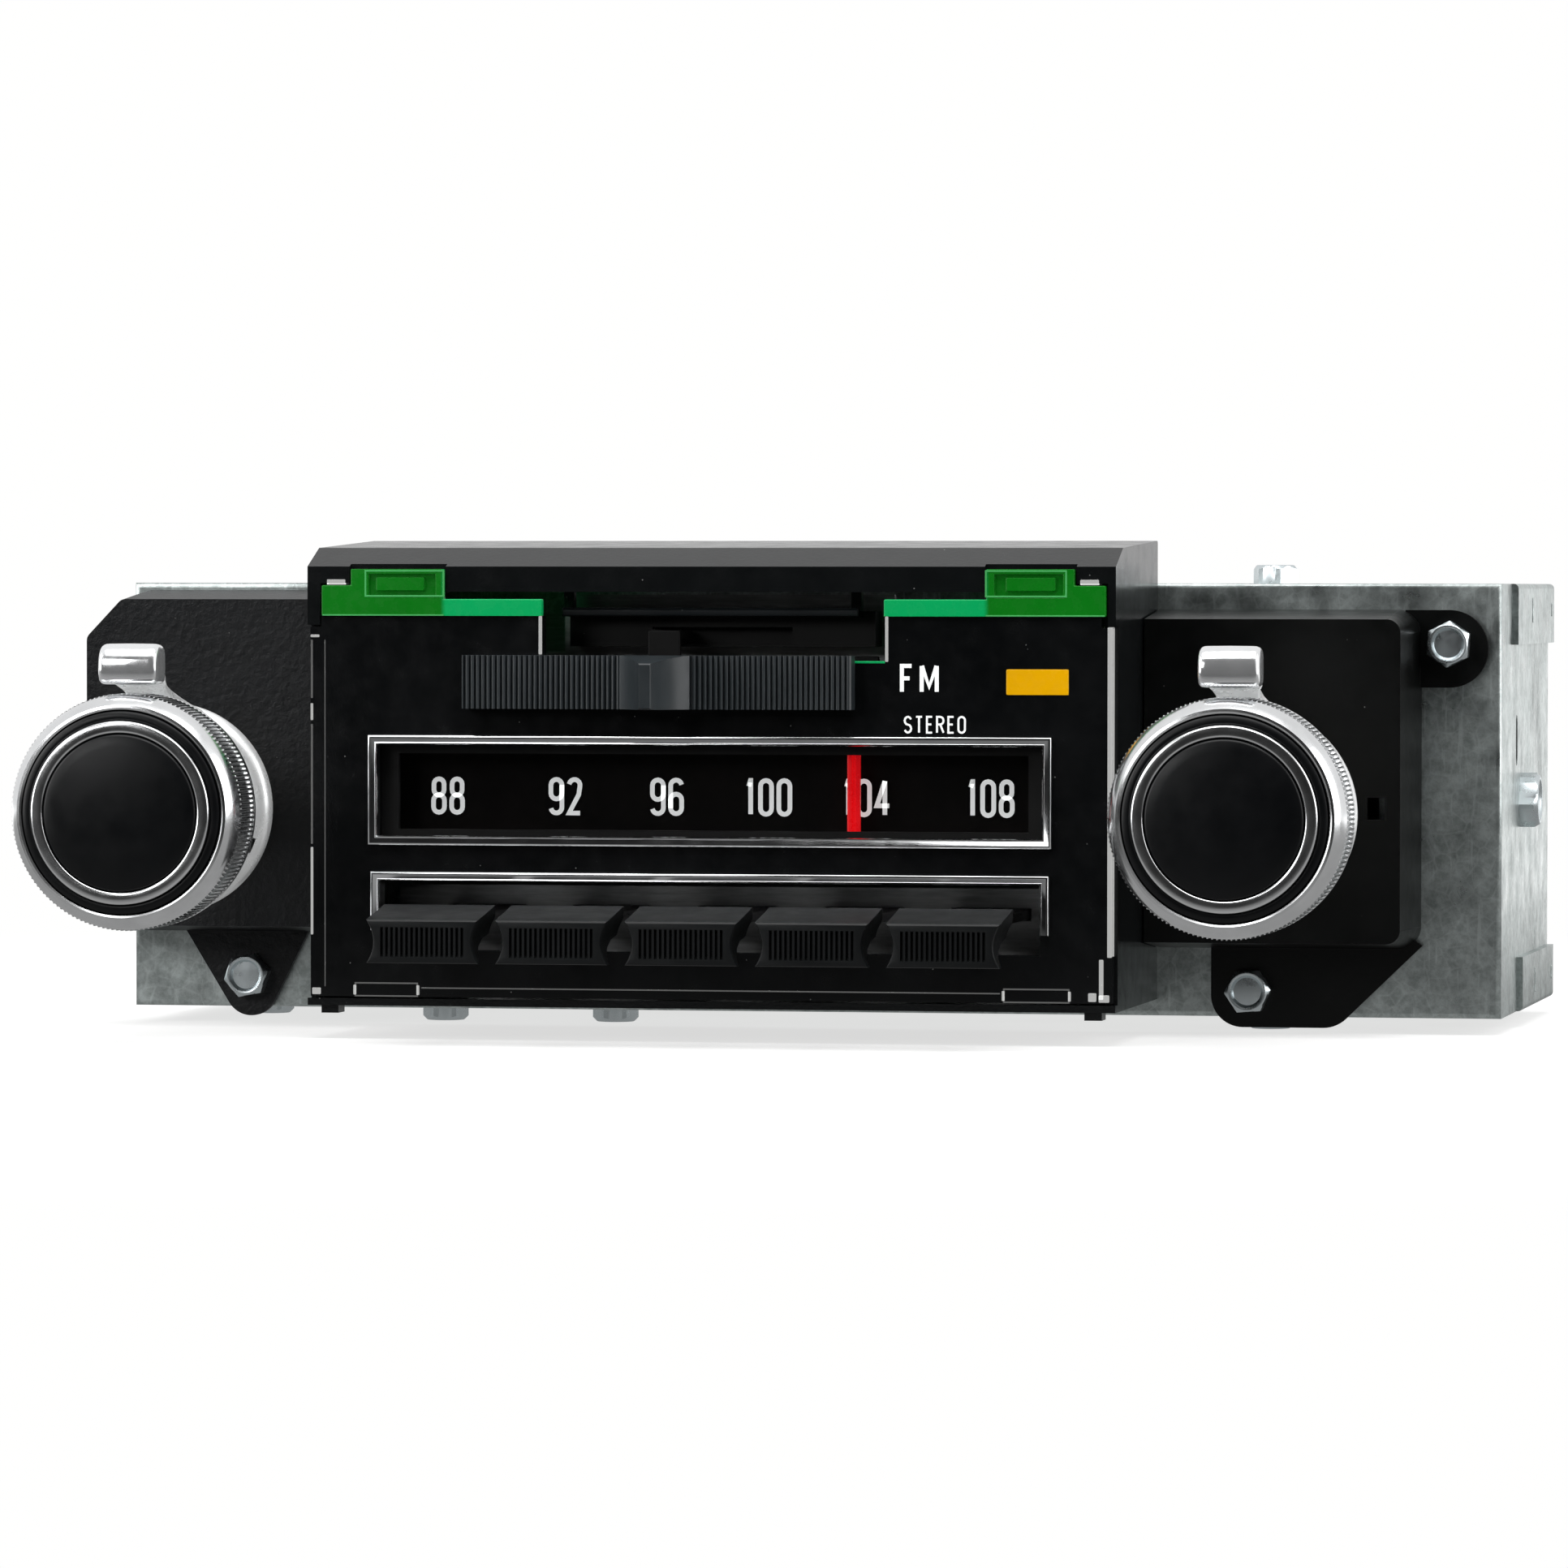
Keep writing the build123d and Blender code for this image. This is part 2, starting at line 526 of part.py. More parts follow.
with BuildPart() as stereo_lens:
    with BuildSketch(front_plane(-0.2)):
        rect(*LENS)
    extrude(amount=-(PLATE_THICK + 0.2))
    with BuildSketch(front_plane(PLATE_THICK)):
        rect(LENS[0] - 1, LENS[1] + 1, LENS[2] - 1, LENS[3] + 1)
    extrude(amount=-0.8)
save(stereo_lens, "stereo_lens")

# ---- lit dial behind the plate ----------------------------------------------------------
BOX_HALF = 55.0
BOX_LOW = -7.0
BOX_HIGH = 10.4
BOX_BACK = 24.0
BOX_WALL = 1.2
with BuildPart() as dial_scale:
    with BuildSketch(front_plane(SCALE_Y)):
        rect(-BOX_HALF + BOX_WALL, BOX_HALF - BOX_WALL, BOX_LOW + BOX_WALL, BOX_HIGH)
    extrude(amount=-1.0)
save(dial_scale, "dial_scale")

with BuildPart() as light_box:
    with BuildSketch(front_plane(SCALE_Y + 1.0)):
        rect(-BOX_HALF, BOX_HALF, BOX_LOW, BOX_HIGH)
    extrude(amount=-(BOX_BACK - SCALE_Y - 1.0))
    with BuildSketch(front_plane(SCALE_Y + 1.0)):
        rect(-BOX_HALF + BOX_WALL, BOX_HALF - BOX_WALL, BOX_LOW + BOX_WALL, BOX_HIGH - BOX_WALL)
    extrude(amount=-(BOX_BACK - SCALE_Y - 1.0 - BOX_WALL), mode=Mode.SUBTRACT)
    with BuildSketch(front_plane(PLATE_THICK + 0.2)):
        rect(-BOX_HALF, BOX_HALF, BOX_LOW, BOX_HIGH)
        rect(-49.2, 49.2, -3.2, 8.5, mode=Mode.SUBTRACT)
    extrude(amount=-BOX_WALL)
    with BuildSketch(front_plane(PLATE_THICK + 0.2 + BOX_WALL)):
        rect(-BOX_HALF, BOX_HALF, BOX_LOW, BOX_LOW + BOX_WALL)
        rect(-BOX_HALF, -BOX_HALF + BOX_WALL, BOX_LOW, BOX_HIGH)
        rect(BOX_HALF - BOX_WALL, BOX_HALF, BOX_LOW, BOX_HIGH)
    extrude(amount=-(SCALE_Y + 1.0 - PLATE_THICK - 0.2 - BOX_WALL))
    with BuildSketch(front_plane(BOX_BACK - BOX_WALL)):
        with Locations((-28.0, 1.7), (28.0, 1.7)):
            Circle(3.2)
    extrude(amount=-BOX_WALL, mode=Mode.SUBTRACT)
save(light_box, "light_box")

with BuildPart() as dial_lamps:
    for lamp_x in (-28.0, 28.0):
        with BuildSketch(Plane.XY.offset(1.7)):
            with BuildLine():
                Polyline((lamp_x, 13.5), (lamp_x, 27.0), (lamp_x + 3.1, 27.0), (lamp_x + 3.1, 19.5), (lamp_x + 2.4, 18.5))
                Line((lamp_x + 2.4, 18.5), (lamp_x + 2.4, 15.9))
                CenterArc((lamp_x, 15.9), 2.4, -90, 90)
            make_face()
        revolve(axis=Axis((lamp_x, 0, 1.7), (0, 1, 0)))
    with BuildSketch(Plane.YZ.offset(47.5)):
        with Locations((5.4, 19.75)):
            Circle(1.5)
    extrude(amount=7.0)
save(dial_lamps, "dial_lamps")

# bracket with the rail that the pointer runs on, a bush for the cord shaft and an idler post
FRAME_Y = 17.0
with BuildPart() as dial_frame:
    with BuildSketch(front_plane(FRAME_Y)):
        rect(-60.7, 60.7, 10.8, 24.0)
        rect(-26.0, 26.0, 23.0, 33.0)
        with Locations((PULLEY_X, PULLEY_Z)):
            Circle(1.5 + RUN, mode=Mode.SUBTRACT)
    extrude(amount=-1.2)
    with BuildSketch(front_plane(RAIL_Y - 2.0)):
        rect(-60.7, -59.5, 10.8, 24.0)
        rect(59.5, 60.7, 10.8, 24.0)
    extrude(amount=-(FRAME_Y - RAIL_Y + 2.0))
    with BuildSketch(Plane.YZ.offset(-60.0)):
        with Locations((RAIL_Y, RAIL_Z)):
            Circle(RAIL_R)
    extrude(amount=120.0)
    with BuildSketch(front_plane(CORD_Y - 1.6)):
        with Locations((-PULLEY_X, PULLEY_Z)):
            Circle(1.2)
    extrude(amount=-(FRAME_Y - CORD_Y + 1.6))
save(dial_frame, "dial_frame")

# ---- mechanism behind the nose --------------------------------------------------------
GUIDE_FRONT = 24.0
GUIDE_Y = CASE_FRONT + SHEET
BUTTON_X = [BUTTON_PITCH * (number - (BUTTON_COUNT - 1) / 2) for number in range(BUTTON_COUNT)]
SLIDE_HALF = 6.0
SPRING_Z = -22.0
SPRING_FRONT = 34.4

with BuildPart() as slide_guide:
    with BuildSketch(front_plane(GUIDE_Y)):
        rect(-60.0, 62.0, -30.0, 31.5)
        for button_x in BUTTON_X:
            rect(
                button_x - SLIDE_HALF - GAP, button_x + SLIDE_HALF + GAP,
                SLIDE_LOW - GAP, SLIDE_HIGH + GAP, mode=Mode.SUBTRACT,
            )
        with Locations((PULLEY_X, PULLEY_Z)):
            Circle(1.5 + RUN, mode=Mode.SUBTRACT)
    extrude(amount=-PANEL_SHEET)
    with BuildSketch(front_plane(GUIDE_FRONT)):
        rect(-54.0, 54.0, -27.9, -12.5)
        for button_x in BUTTON_X:
            rect(
                button_x - SLIDE_HALF - GAP, button_x + SLIDE_HALF + GAP,
                SLIDE_LOW - GAP, SLIDE_HIGH + GAP, mode=Mode.SUBTRACT,
            )
    extrude(amount=-PANEL_SHEET)
    with BuildSketch(Plane.XY.offset(-27.9)):
        rect(-54.0, 54.0, GUIDE_FRONT, GUIDE_Y)
    extrude(amount=1.0)
save(slide_guide, "slide_guide")

with BuildPart() as return_springs:
    for button_x in BUTTON_X:
        with BuildLine() as coil:
            Helix(
                pitch=2.2, height=GUIDE_Y - 0.5 - SPRING_FRONT, radius=2.0,
                center=(button_x, SPRING_FRONT, SPRING_Z), direction=(0, 1, 0),
            )
        with BuildSketch(Plane(origin=coil.line @ 0, z_dir=coil.line % 0)):
            Circle(0.35)
        sweep(path=coil.line)
save(return_springs, "return_springs")

with BuildPart() as band_switch:
    with BuildSketch(front_plane(11.4)):
        rect(-24.0, 24.0, 25.0, 30.5)
    extrude(amount=-(FRAME_Y - 11.4))
    with BuildSketch(front_plane(11.4)):
        rect(-11.0, 11.0, 25.4, 28.0)
    extrude(amount=-2.4, mode=Mode.SUBTRACT)
save(band_switch, "band_switch")

# ---- tuner: coils, their bracket and the boards ----------------------------------------
COIL_X = (42.0, 50.0, 58.0, 66.0)
COIL_R = 3.6
CORE_R = 2.2
BRACKET_Y = 53.5
BRACKET_LEFT = 34.0
BRACKET_RIGHT = 94.0
BRACKET_LOW = -14.8
BOARD_TOP = -26.3

with BuildPart() as tuner_bracket:
    with BuildSketch(front_plane(BRACKET_Y)):
        rect(BRACKET_LEFT, BRACKET_RIGHT, BRACKET_LOW, 24.0)
        with Locations((SHAFT_X, 0)):
            Circle(SHAFT_R + RUN, mode=Mode.SUBTRACT)
        with Locations((PULLEY_X, PULLEY_Z)):
            Circle(1.5 + RUN, mode=Mode.SUBTRACT)
    extrude(amount=-PANEL_SHEET)
    with BuildSketch(front_plane(SCREW_END + 0.8)):
        rect(BRACKET_LEFT, BRACKET_RIGHT, BRACKET_LOW, 10.0)
        with Locations((SHAFT_X, 0)):
            Circle(SHAFT_R + RUN, mode=Mode.SUBTRACT)
    extrude(amount=-PANEL_SHEET)
    with BuildSketch(Plane.XY.offset(BRACKET_LOW)):
        rect(BRACKET_LEFT, BRACKET_RIGHT, BRACKET_Y, SCREW_END + 0.8 + PANEL_SHEET)
    extrude(amount=PANEL_SHEET)
    with BuildSketch(Plane.XY.offset(CASE_BOTTOM + SHEET)):
        rect(BRACKET_RIGHT - PANEL_SHEET, BRACKET_RIGHT, BRACKET_Y, 61.0)
        rect(48.0, 48.0 + PANEL_SHEET, BRACKET_Y, 61.0)
    extrude(amount=BRACKET_LOW - CASE_BOTTOM - SHEET)
save(tuner_bracket, "tuner_bracket")

with BuildPart() as tuner_coils:
    with BuildSketch(front_plane(BRACKET_Y + PANEL_SHEET)):
        for coil_x in COIL_X:
            with Locations((coil_x, 0)):
                Circle(COIL_R)
                Circle(CORE_R + GAP, mode=Mode.SUBTRACT)
    extrude(amount=-25.3)
save(tuner_coils, "tuner_coils")

with BuildPart() as circuit_board:
    with BuildSketch(Plane.XY.offset(BOARD_TOP - 1.6)):
        rect(-97.0, 112.0, 62.0, 116.0)
    extrude(amount=1.6)
    with BuildSketch(Plane.XY.offset(CASE_BOTTOM + SHEET)):
        with Locations((-93.0, 71.5), (-93.0, 108.0), (108.0, 71.5), (108.0, 108.0)):
            Circle(2.5)
    extrude(amount=BOARD_TOP - 1.6 - CASE_BOTTOM - SHEET)
save(circuit_board, "circuit_board")

with BuildPart() as shield_cans:
    with BuildSketch(Plane.XY.offset(BOARD_TOP)):
        with Locations((-36.0, 74.0)):
            with GridLocations(17.0, 15.0, 5, 2):
                Rectangle(10.0, 10.0)
    extrude(amount=15.0)
    fillet(shield_cans.edges().filter_by(Axis.Z), 1.2)
save(shield_cans, "shield_cans")

with BuildPart() as filter_capacitors:
    with BuildSketch(Plane.XY.offset(BOARD_TOP)):
        with Locations((-85.0, 100.0), (-62.0, 100.0), (0.0, 100.0)):
            Circle(9.0)
    extrude(amount=36.0)
    fillet(filter_capacitors.edges().group_by(Axis.Z)[-1], 1.0)
save(filter_capacitors, "filter_capacitors")

# ---- concentric controls ---------------------------------------------------------------
BUSHING_FRONT = 5.0
BUSHING_SEAT = PANEL_Y + PANEL_SHEET
SLEEVE_BACK = 39.5
SHAFT_BACK = 51.5

with BuildPart() as shaft_bushings:
    with BuildSketch(front_plane(BUSHING_FRONT)):
        with Locations((-SHAFT_X, 0), (SHAFT_X, 0)):
            Circle(BUSHING_R)
    extrude(amount=-(BUSHING_SEAT - BUSHING_FRONT))
    with BuildSketch(front_plane(BUSHING_SEAT)):
        with Locations((-SHAFT_X, 0), (SHAFT_X, 0)):
            Circle(8.0)
    extrude(amount=-2.5)
    with BuildSketch(front_plane(BUSHING_FRONT)):
        with Locations((-SHAFT_X, 0), (SHAFT_X, 0)):
            Circle(SLEEVE_R + RUN)
    extrude(amount=-(BUSHING_SEAT + 2.5 - BUSHING_FRONT), mode=Mode.SUBTRACT)
    chamfer(shaft_bushings.edges().group_by(Axis.Y)[0].filter_by(lambda e: e.radius > BUSHING_R - 0.1), 0.5)
    with BuildSketch(front_plane(PANEL_Y - 2.8)):
        with Locations((-SHAFT_X, 0), (SHAFT_X, 0)):
            RegularPolygon(7.1, 6, major_radius=False)
            Circle(BUSHING_R + RUN, mode=Mode.SUBTRACT)
    extrude(amount=-2.8)
save(shaft_bushings, "shaft_bushings")

for control_name, control_x, control_back in (
    ("volume_control", -SHAFT_X, 58.0),
    ("balance_control", SHAFT_X, 44.0),
):
    with BuildPart() as control:
        with BuildSketch(front_plane(BUSHING_SEAT + 2.5)):
            with Locations((control_x, 0)):
                Circle(12.0)
        extrude(amount=-(control_back - BUSHING_SEAT - 2.5))
        with BuildSketch(front_plane(BUSHING_SEAT + 2.5)):
            with Locations((control_x, 0)):
                Circle(SLEEVE_R + RUN)
        extrude(amount=-(SLEEVE_BACK + 0.5 - BUSHING_SEAT - 2.5), mode=Mode.SUBTRACT)
        with BuildSketch(front_plane(SLEEVE_BACK)):
            with Locations((control_x, 0)):
                Circle(SHAFT_R + RUN)
        extrude(amount=-(SHAFT_BACK + 0.5 - SLEEVE_BACK), mode=Mode.SUBTRACT)
    save(control, control_name)

# knob: chromed ring with a hub, black insert, shaft
RING_INNER = 15.6
CAP_R = 11.5
CAP_RISE = 0.9
CAP_PEAK = KNOB_FRONT - 1.6
for knob_name, knob_x in (("volume_knob", -SHAFT_X), ("tuning_knob", SHAFT_X)):
    knob_plane = Plane(origin=(knob_x, 0, 0), x_dir=(1, 0, 0), z_dir=(0, 0, 1))
    knob_axis = Axis((knob_x, 0, 0), (0, 1, 0))
    dome_radius = (CAP_R**2 + CAP_RISE**2) / (2 * CAP_RISE)
    half_turn = asin(CAP_R / dome_radius) / 2
    dome_middle = (dome_radius * sin(half_turn), CAP_PEAK + dome_radius * (1 - cos(half_turn)))
    with BuildPart() as knob_ring:
        with BuildSketch(knob_plane):
            with BuildLine():
                Polyline(
                    (SHAFT_R, -26.0), (RING_INNER, -26.0), (RING_INNER, KNOB_FRONT + 0.4), (16.2, KNOB_FRONT + 0.4),
                    (KNOB_R - 0.4, -29.9), (KNOB_R, -29.5), (KNOB_R, KNOB_BACK + 0.3), (KNOB_R - 0.3, KNOB_BACK),
                    (16.6, KNOB_BACK), (16.6, -24.4), (5.5, -24.4), (5.5, -15.5), (SHAFT_R, -15.5), close=True,
                )
            make_face()
        revolve(axis=knob_axis)
    save(knob_ring, knob_name)
    with BuildPart() as knob_insert:
        with BuildSketch(knob_plane):
            with BuildLine():
                Polyline(
                    (0, CAP_PEAK), (0, -26.2), (RING_INNER - 0.2, -26.2), (RING_INNER - 0.2, KNOB_FRONT),
                    (14.0, KNOB_FRONT), (14.0, KNOB_FRONT + 1.4), (11.9, KNOB_FRONT + 1.4), (11.9, KNOB_FRONT - 0.3),
                    (CAP_R, CAP_PEAK + CAP_RISE),
                )
                ThreePointArc((CAP_R, CAP_PEAK + CAP_RISE), dome_middle, (0, CAP_PEAK))
            make_face()
        revolve(axis=knob_axis)
    save(knob_insert, f"{knob_name}_insert")

with BuildPart() as volume_shaft:
    with BuildSketch(front_plane(-26.0)):
        with Locations((-SHAFT_X, 0)):
            Circle(SHAFT_R)
    extrude(amount=-(SHAFT_BACK + 26.0))
save(volume_shaft, "volume_shaft")

RIM = 0.6
with BuildPart() as tuning_shaft:
    with BuildSketch(Plane(origin=(SHAFT_X, 0, 0), x_dir=(1, 0, 0), z_dir=(0, 0, 1))):
        with BuildLine():
            Polyline(
                (0, -26.0), (SHAFT_R, -26.0), (SHAFT_R, SPINDLE_Y - 1.6), (SPINDLE_R + RIM, SPINDLE_Y - 1.6),
                (SPINDLE_R + RIM, SPINDLE_Y - 0.8), (SPINDLE_R - RIM, SPINDLE_Y - 0.8),
                (SPINDLE_R - RIM, SPINDLE_Y + 0.8), (SPINDLE_R + RIM, SPINDLE_Y + 0.8),
                (SPINDLE_R + RIM, SPINDLE_Y + 1.6), (SHAFT_R, SPINDLE_Y + 1.6), (SHAFT_R, 56.0), (2.6, 56.0),
                (2.6, SCREW_END - 0.5), (SHAFT_R, SCREW_END - 0.5), (SHAFT_R, SCREW_END + 3.5), (0, SCREW_END + 3.5),
                close=True,
            )
        make_face()
    revolve(axis=Axis((SHAFT_X, 0, 0), (0, 1, 0)))
save(tuning_shaft, "tuning_shaft")

LEVER_HEAD = 4.6
LEVER_NECK = 3.3
for lever_name, lever_x in (("tone_lever", -SHAFT_X), ("balance_lever", SHAFT_X)):
    with BuildPart() as lever:
        with BuildSketch(Plane(origin=(lever_x, 0, 0), x_dir=(1, 0, 0), z_dir=(0, 0, 1))):
            with BuildLine():
                Polyline(
                    (SHAFT_R + RUN, -14.5), (6.0, -14.5), (6.0, -7.0), (14.6, -5.2), (15.6, -4.6), (LEVER_R, -3.9),
                    (LEVER_R, -2.6), (14.4, -2.6), (5.2, -4.4), (5.2, -1.5), (SLEEVE_R, -1.5),
                    (SLEEVE_R, SLEEVE_BACK), (SHAFT_R + RUN, SLEEVE_BACK), close=True,
                )
            make_face()
        revolve(axis=Axis((lever_x, 0, 0), (0, 1, 0)))
        with BuildSketch(Plane.YZ.offset(lever_x - LEVER_NECK)):
            with BuildLine():
                Polyline(
                    (-3.4, 13.6), (-5.0, 13.6), (-8.4, 17.4), (-14.0, 18.9), (-24.0, 19.2), (-24.0, 21.0),
                    (-13.6, 20.6), (-7.4, 19.0), (-3.4, 15.4), close=True,
                )
            make_face()
        extrude(amount=2 * LEVER_NECK)
        with BuildSketch(Plane.YZ.offset(lever_x - LEVER_HEAD)):
            with BuildLine():
                FilletPolyline(
                    (-22.4, 19.3), (-28.6, 19.3), (-29.0, 25.5), (-22.8, 25.5), radius=1.2, close=True,
                )
            make_face()
        extrude(amount=2 * LEVER_HEAD)
    save(lever, lever_name)

# ---- band slider, pushbuttons, pointer and cord -------------------------------------------
SLIDER_LEFT = -37.8
SLIDER_RIGHT = 22.9
SLIDER_LOW = 15.5
SLIDER_HIGH = 23.7
SLIDER_MID = (SLIDER_LEFT + SLIDER_RIGHT) / 2
with BuildPart() as band_slider:
    with BuildSketch(Plane.XY.offset(SLIDER_LOW)):
        with BuildLine():
            Polyline(
                (SLIDER_MID - 4.2, -4.2), (SLIDER_MID - 0.9, -12.0), (SLIDER_MID + 0.9, -12.0), (SLIDER_MID + 4.2, -4.2)
            )
            ThreePointArc((SLIDER_MID + 4.2, -4.2), (SLIDER_MID + 15.0, -3.4), (SLIDER_RIGHT, -4.2))
            Polyline((SLIDER_RIGHT, -4.2), (SLIDER_RIGHT, -GAP), (SLIDER_LEFT, -GAP), (SLIDER_LEFT, -4.2))
            ThreePointArc((SLIDER_LEFT, -4.2), (SLIDER_MID - 15.0, -3.4), (SLIDER_MID - 4.2, -4.2))
        make_face()
    extrude(amount=SLIDER_HIGH - SLIDER_LOW)
    chamfer(band_slider.faces().sort_by(Axis.Y)[0].edges().filter_by(Axis.X), 0.5)
    with BuildSketch(front_plane(-GAP)):
        rect(SLIDER_MID - 4.85, SLIDER_MID + 4.85, 18.3, 20.7)
    extrude(amount=-(PLATE_THICK + 2 * GAP))
    with BuildSketch(front_plane(PLATE_THICK + GAP)):
        rect(SLIDER_MID - 12.5, SLIDER_MID + 12.5, 16.6, 22.4)
        rect(SLIDER_MID - 2.5, SLIDER_MID + 2.5, 22.0, 27.5)
    extrude(amount=-1.2)
    with BuildSketch(front_plane(PLATE_THICK + GAP + 1.2)):
        rect(SLIDER_MID - 2.5, SLIDER_MID + 2.5, 26.2, 27.5)
    extrude(amount=-8.8)
save(band_slider, "band_slider")

GROOVES = 17
GROOVE_PITCH = 0.78
CAP_BACK = -8.5
with BuildPart() as button_cap:
    with BuildSketch(Plane.YZ.offset(-BUTTON_WIDTH / 2)):
        with BuildLine():
            Polyline((CAP_BACK, -18.7), (CAP_BACK, -14.4), (BUTTON_FRONT + 0.8, BUTTON_HIGH), (BUTTON_FRONT, BUTTON_HIGH - 0.5))
            Line((BUTTON_FRONT, BUTTON_HIGH - 0.5), (BUTTON_FRONT, BUTTON_LOW))
            Line((BUTTON_FRONT, BUTTON_LOW), (BUTTON_FRONT + 1.4, BUTTON_LOW))
            ThreePointArc((BUTTON_FRONT + 1.4, BUTTON_LOW), (-16.0, -20.3), (CAP_BACK, -18.7))
        make_face()
    extrude(amount=BUTTON_WIDTH)
    with BuildSketch(front_plane(BUTTON_FRONT)):
        with Locations((-13.2, -19.6), (13.2, -19.6)):
            Circle(5.6)
    extrude(amount=-(CAP_BACK - BUTTON_FRONT), mode=Mode.SUBTRACT)
    with BuildSketch(front_plane(BUTTON_FRONT)):
        with Locations((0, -19.7)):
            with GridLocations(GROOVE_PITCH, 0, GROOVES, 1):
                Rectangle(0.42, 4.7)
    extrude(amount=-1.0, mode=Mode.SUBTRACT)
    with BuildSketch(front_plane(-14.0)):
        rect(-SLIDE_HALF, SLIDE_HALF, SLIDE_LOW, SLIDE_HIGH)
    extrude(amount=-(CAP_BACK + 14.0), mode=Mode.SUBTRACT)

with BuildPart() as slide_strip:
    with BuildSketch(Plane.XY.offset(SLIDE_LOW)):
        rect(-SLIDE_HALF, SLIDE_HALF, -14.0, SLIDE_BACK)
    extrude(amount=SLIDE_HIGH - SLIDE_LOW)
    with BuildSketch(front_plane(SPRING_FRONT - 1.6)):
        rect(-3.0, 3.0, -25.0, SLIDE_LOW)
    extrude(amount=-1.2)

for number, button_x in enumerate(BUTTON_X, start=1):
    with BuildPart() as button:
        add(button_cap.part.moved(Location((button_x, 0, 0))))
    save(button, f"button_{number}")
    with BuildPart() as slide:
        add(slide_strip.part.moved(Location((button_x, 0, 0))))
    save(slide, f"button_slide_{number}")

UPPER_RUN = PULLEY_Z + PULLEY_R
with BuildPart() as pointer:
    with BuildSketch(front_plane(4.7)):
        rect(POINTER_X - 1.0, POINTER_X + 1.0, -3.6, 11.8)
    extrude(amount=-0.8)
    with BuildSketch(Plane.XY.offset(10.9)):
        rect(POINTER_X - 1.0, POINTER_X + 1.0, 4.7, 11.0)
    extrude(amount=0.9)
    with BuildSketch(front_plane(10.6)):
        rect(POINTER_X - 2.4, POINTER_X + 2.4, 10.9, 14.6)
    extrude(amount=-3.6)
    with BuildSketch(front_plane(13.2)):
        rect(POINTER_X - 2.4, POINTER_X + 2.4, 10.9, UPPER_RUN + 1.2)
    extrude(amount=-1.0)
    with BuildSketch(front_plane(11.0)):
        rect(POINTER_X - 2.4, POINTER_X + 2.4, UPPER_RUN - 1.2, UPPER_RUN + 1.2)
    extrude(amount=-2.4)
    with BuildSketch(Plane.YZ.offset(POINTER_X - 2.4)):
        with Locations((RAIL_Y, RAIL_Z)):
            Circle(RAIL_R + RUN)
        with Locations((CORD_Y, UPPER_RUN)):
            Circle(CORD_R + GAP)
    extrude(amount=4.8, mode=Mode.SUBTRACT)
save(pointer, "pointer")


def groove(radius, y):
    """Half section of a grooved pulley between two rims, as (radius, y) points from front to back."""
    return [
        (radius + RIM, y - 1.4), (radius + RIM, y - 0.8), (radius - RIM, y - 0.8),
        (radius - RIM, y + 0.8), (radius + RIM, y + 0.8), (radius + RIM, y + 1.4),
    ]


with BuildPart() as drive_pulley:
    with BuildSketch(Plane(origin=(PULLEY_X, 0, PULLEY_Z), x_dir=(1, 0, 0), z_dir=(0, 0, 1))):
        with BuildLine():
            Polyline(
                (0, 9.8), (1.5, 9.8), (1.5, CORD_Y - 1.4), *groove(PULLEY_R, CORD_Y), (1.5, CORD_Y + 1.4),
                (1.5, SPINDLE_Y - 1.4), *groove(PULLEY_R, SPINDLE_Y), (1.5, SPINDLE_Y + 1.4),
                (1.5, BRACKET_Y + 2.0), (0, BRACKET_Y + 2.0), close=True,
            )
        make_face()
    revolve(axis=Axis((PULLEY_X, 0, PULLEY_Z), (0, 1, 0)))
save(drive_pulley, "drive_pulley")

with BuildPart() as idler_pulley:
    with BuildSketch(Plane(origin=(-PULLEY_X, 0, PULLEY_Z), x_dir=(1, 0, 0), z_dir=(0, 0, 1))):
        with BuildLine():
            Polyline(
                (1.2 + RUN, CORD_Y - 1.4), *groove(PULLEY_R, CORD_Y), (1.2 + RUN, CORD_Y + 1.4), close=True,
            )
        make_face()
    revolve(axis=Axis((-PULLEY_X, 0, PULLEY_Z), (0, 1, 0)))
save(idler_pulley, "idler_pulley")

with BuildPart() as dial_cord:
    for spread, mode in ((CORD_R, Mode.ADD), (-CORD_R, Mode.SUBTRACT)):
        with BuildSketch(front_plane(CORD_Y - CORD_R)):
            with Locations((0, PULLEY_Z)):
                SlotCenterToCenter(2 * PULLEY_X, 2 * (PULLEY_R + spread))
        extrude(amount=-2 * CORD_R, mode=mode)
        with BuildSketch(front_plane(SPINDLE_Y - CORD_R)):
            with Locations((PULLEY_X, PULLEY_Z)):
                Circle(PULLEY_R + spread)
            with Locations((SHAFT_X, 0)):
                Circle(SPINDLE_R + spread)
            make_hull()
        extrude(amount=-2 * CORD_R, mode=mode)
save(dial_cord, "dial_cord")

with BuildPart() as core_rack:
    with BuildSketch(front_plane(CORE_REST - 1.0)):
        rect(36.0, SHAFT_X + 6.0, -5.0, 5.0)
    extrude(amount=-2.0)
    with BuildSketch(front_plane(CORE_REST - 4.0)):
        with Locations((SHAFT_X, 0)):
            Circle(5.0)
    extrude(amount=-8.0)
    with BuildSketch(front_plane(CORE_REST - 4.0)):
        with Locations((SHAFT_X, 0)):
            Circle(2.6 + RUN)
        with Locations(*[(coil_x, 0) for coil_x in COIL_X]):
            Circle(CORE_R)
    extrude(amount=-8.0, mode=Mode.SUBTRACT)
save(core_rack, "core_rack")

with BuildPart() as tuner_cores:
    with BuildSketch(front_plane(CORE_REST - 26.0)):
        with Locations(*[(coil_x, 0) for coil_x in COIL_X]):
            Circle(CORE_R)
    extrude(amount=-27.0)
save(tuner_cores, "tuner_cores")
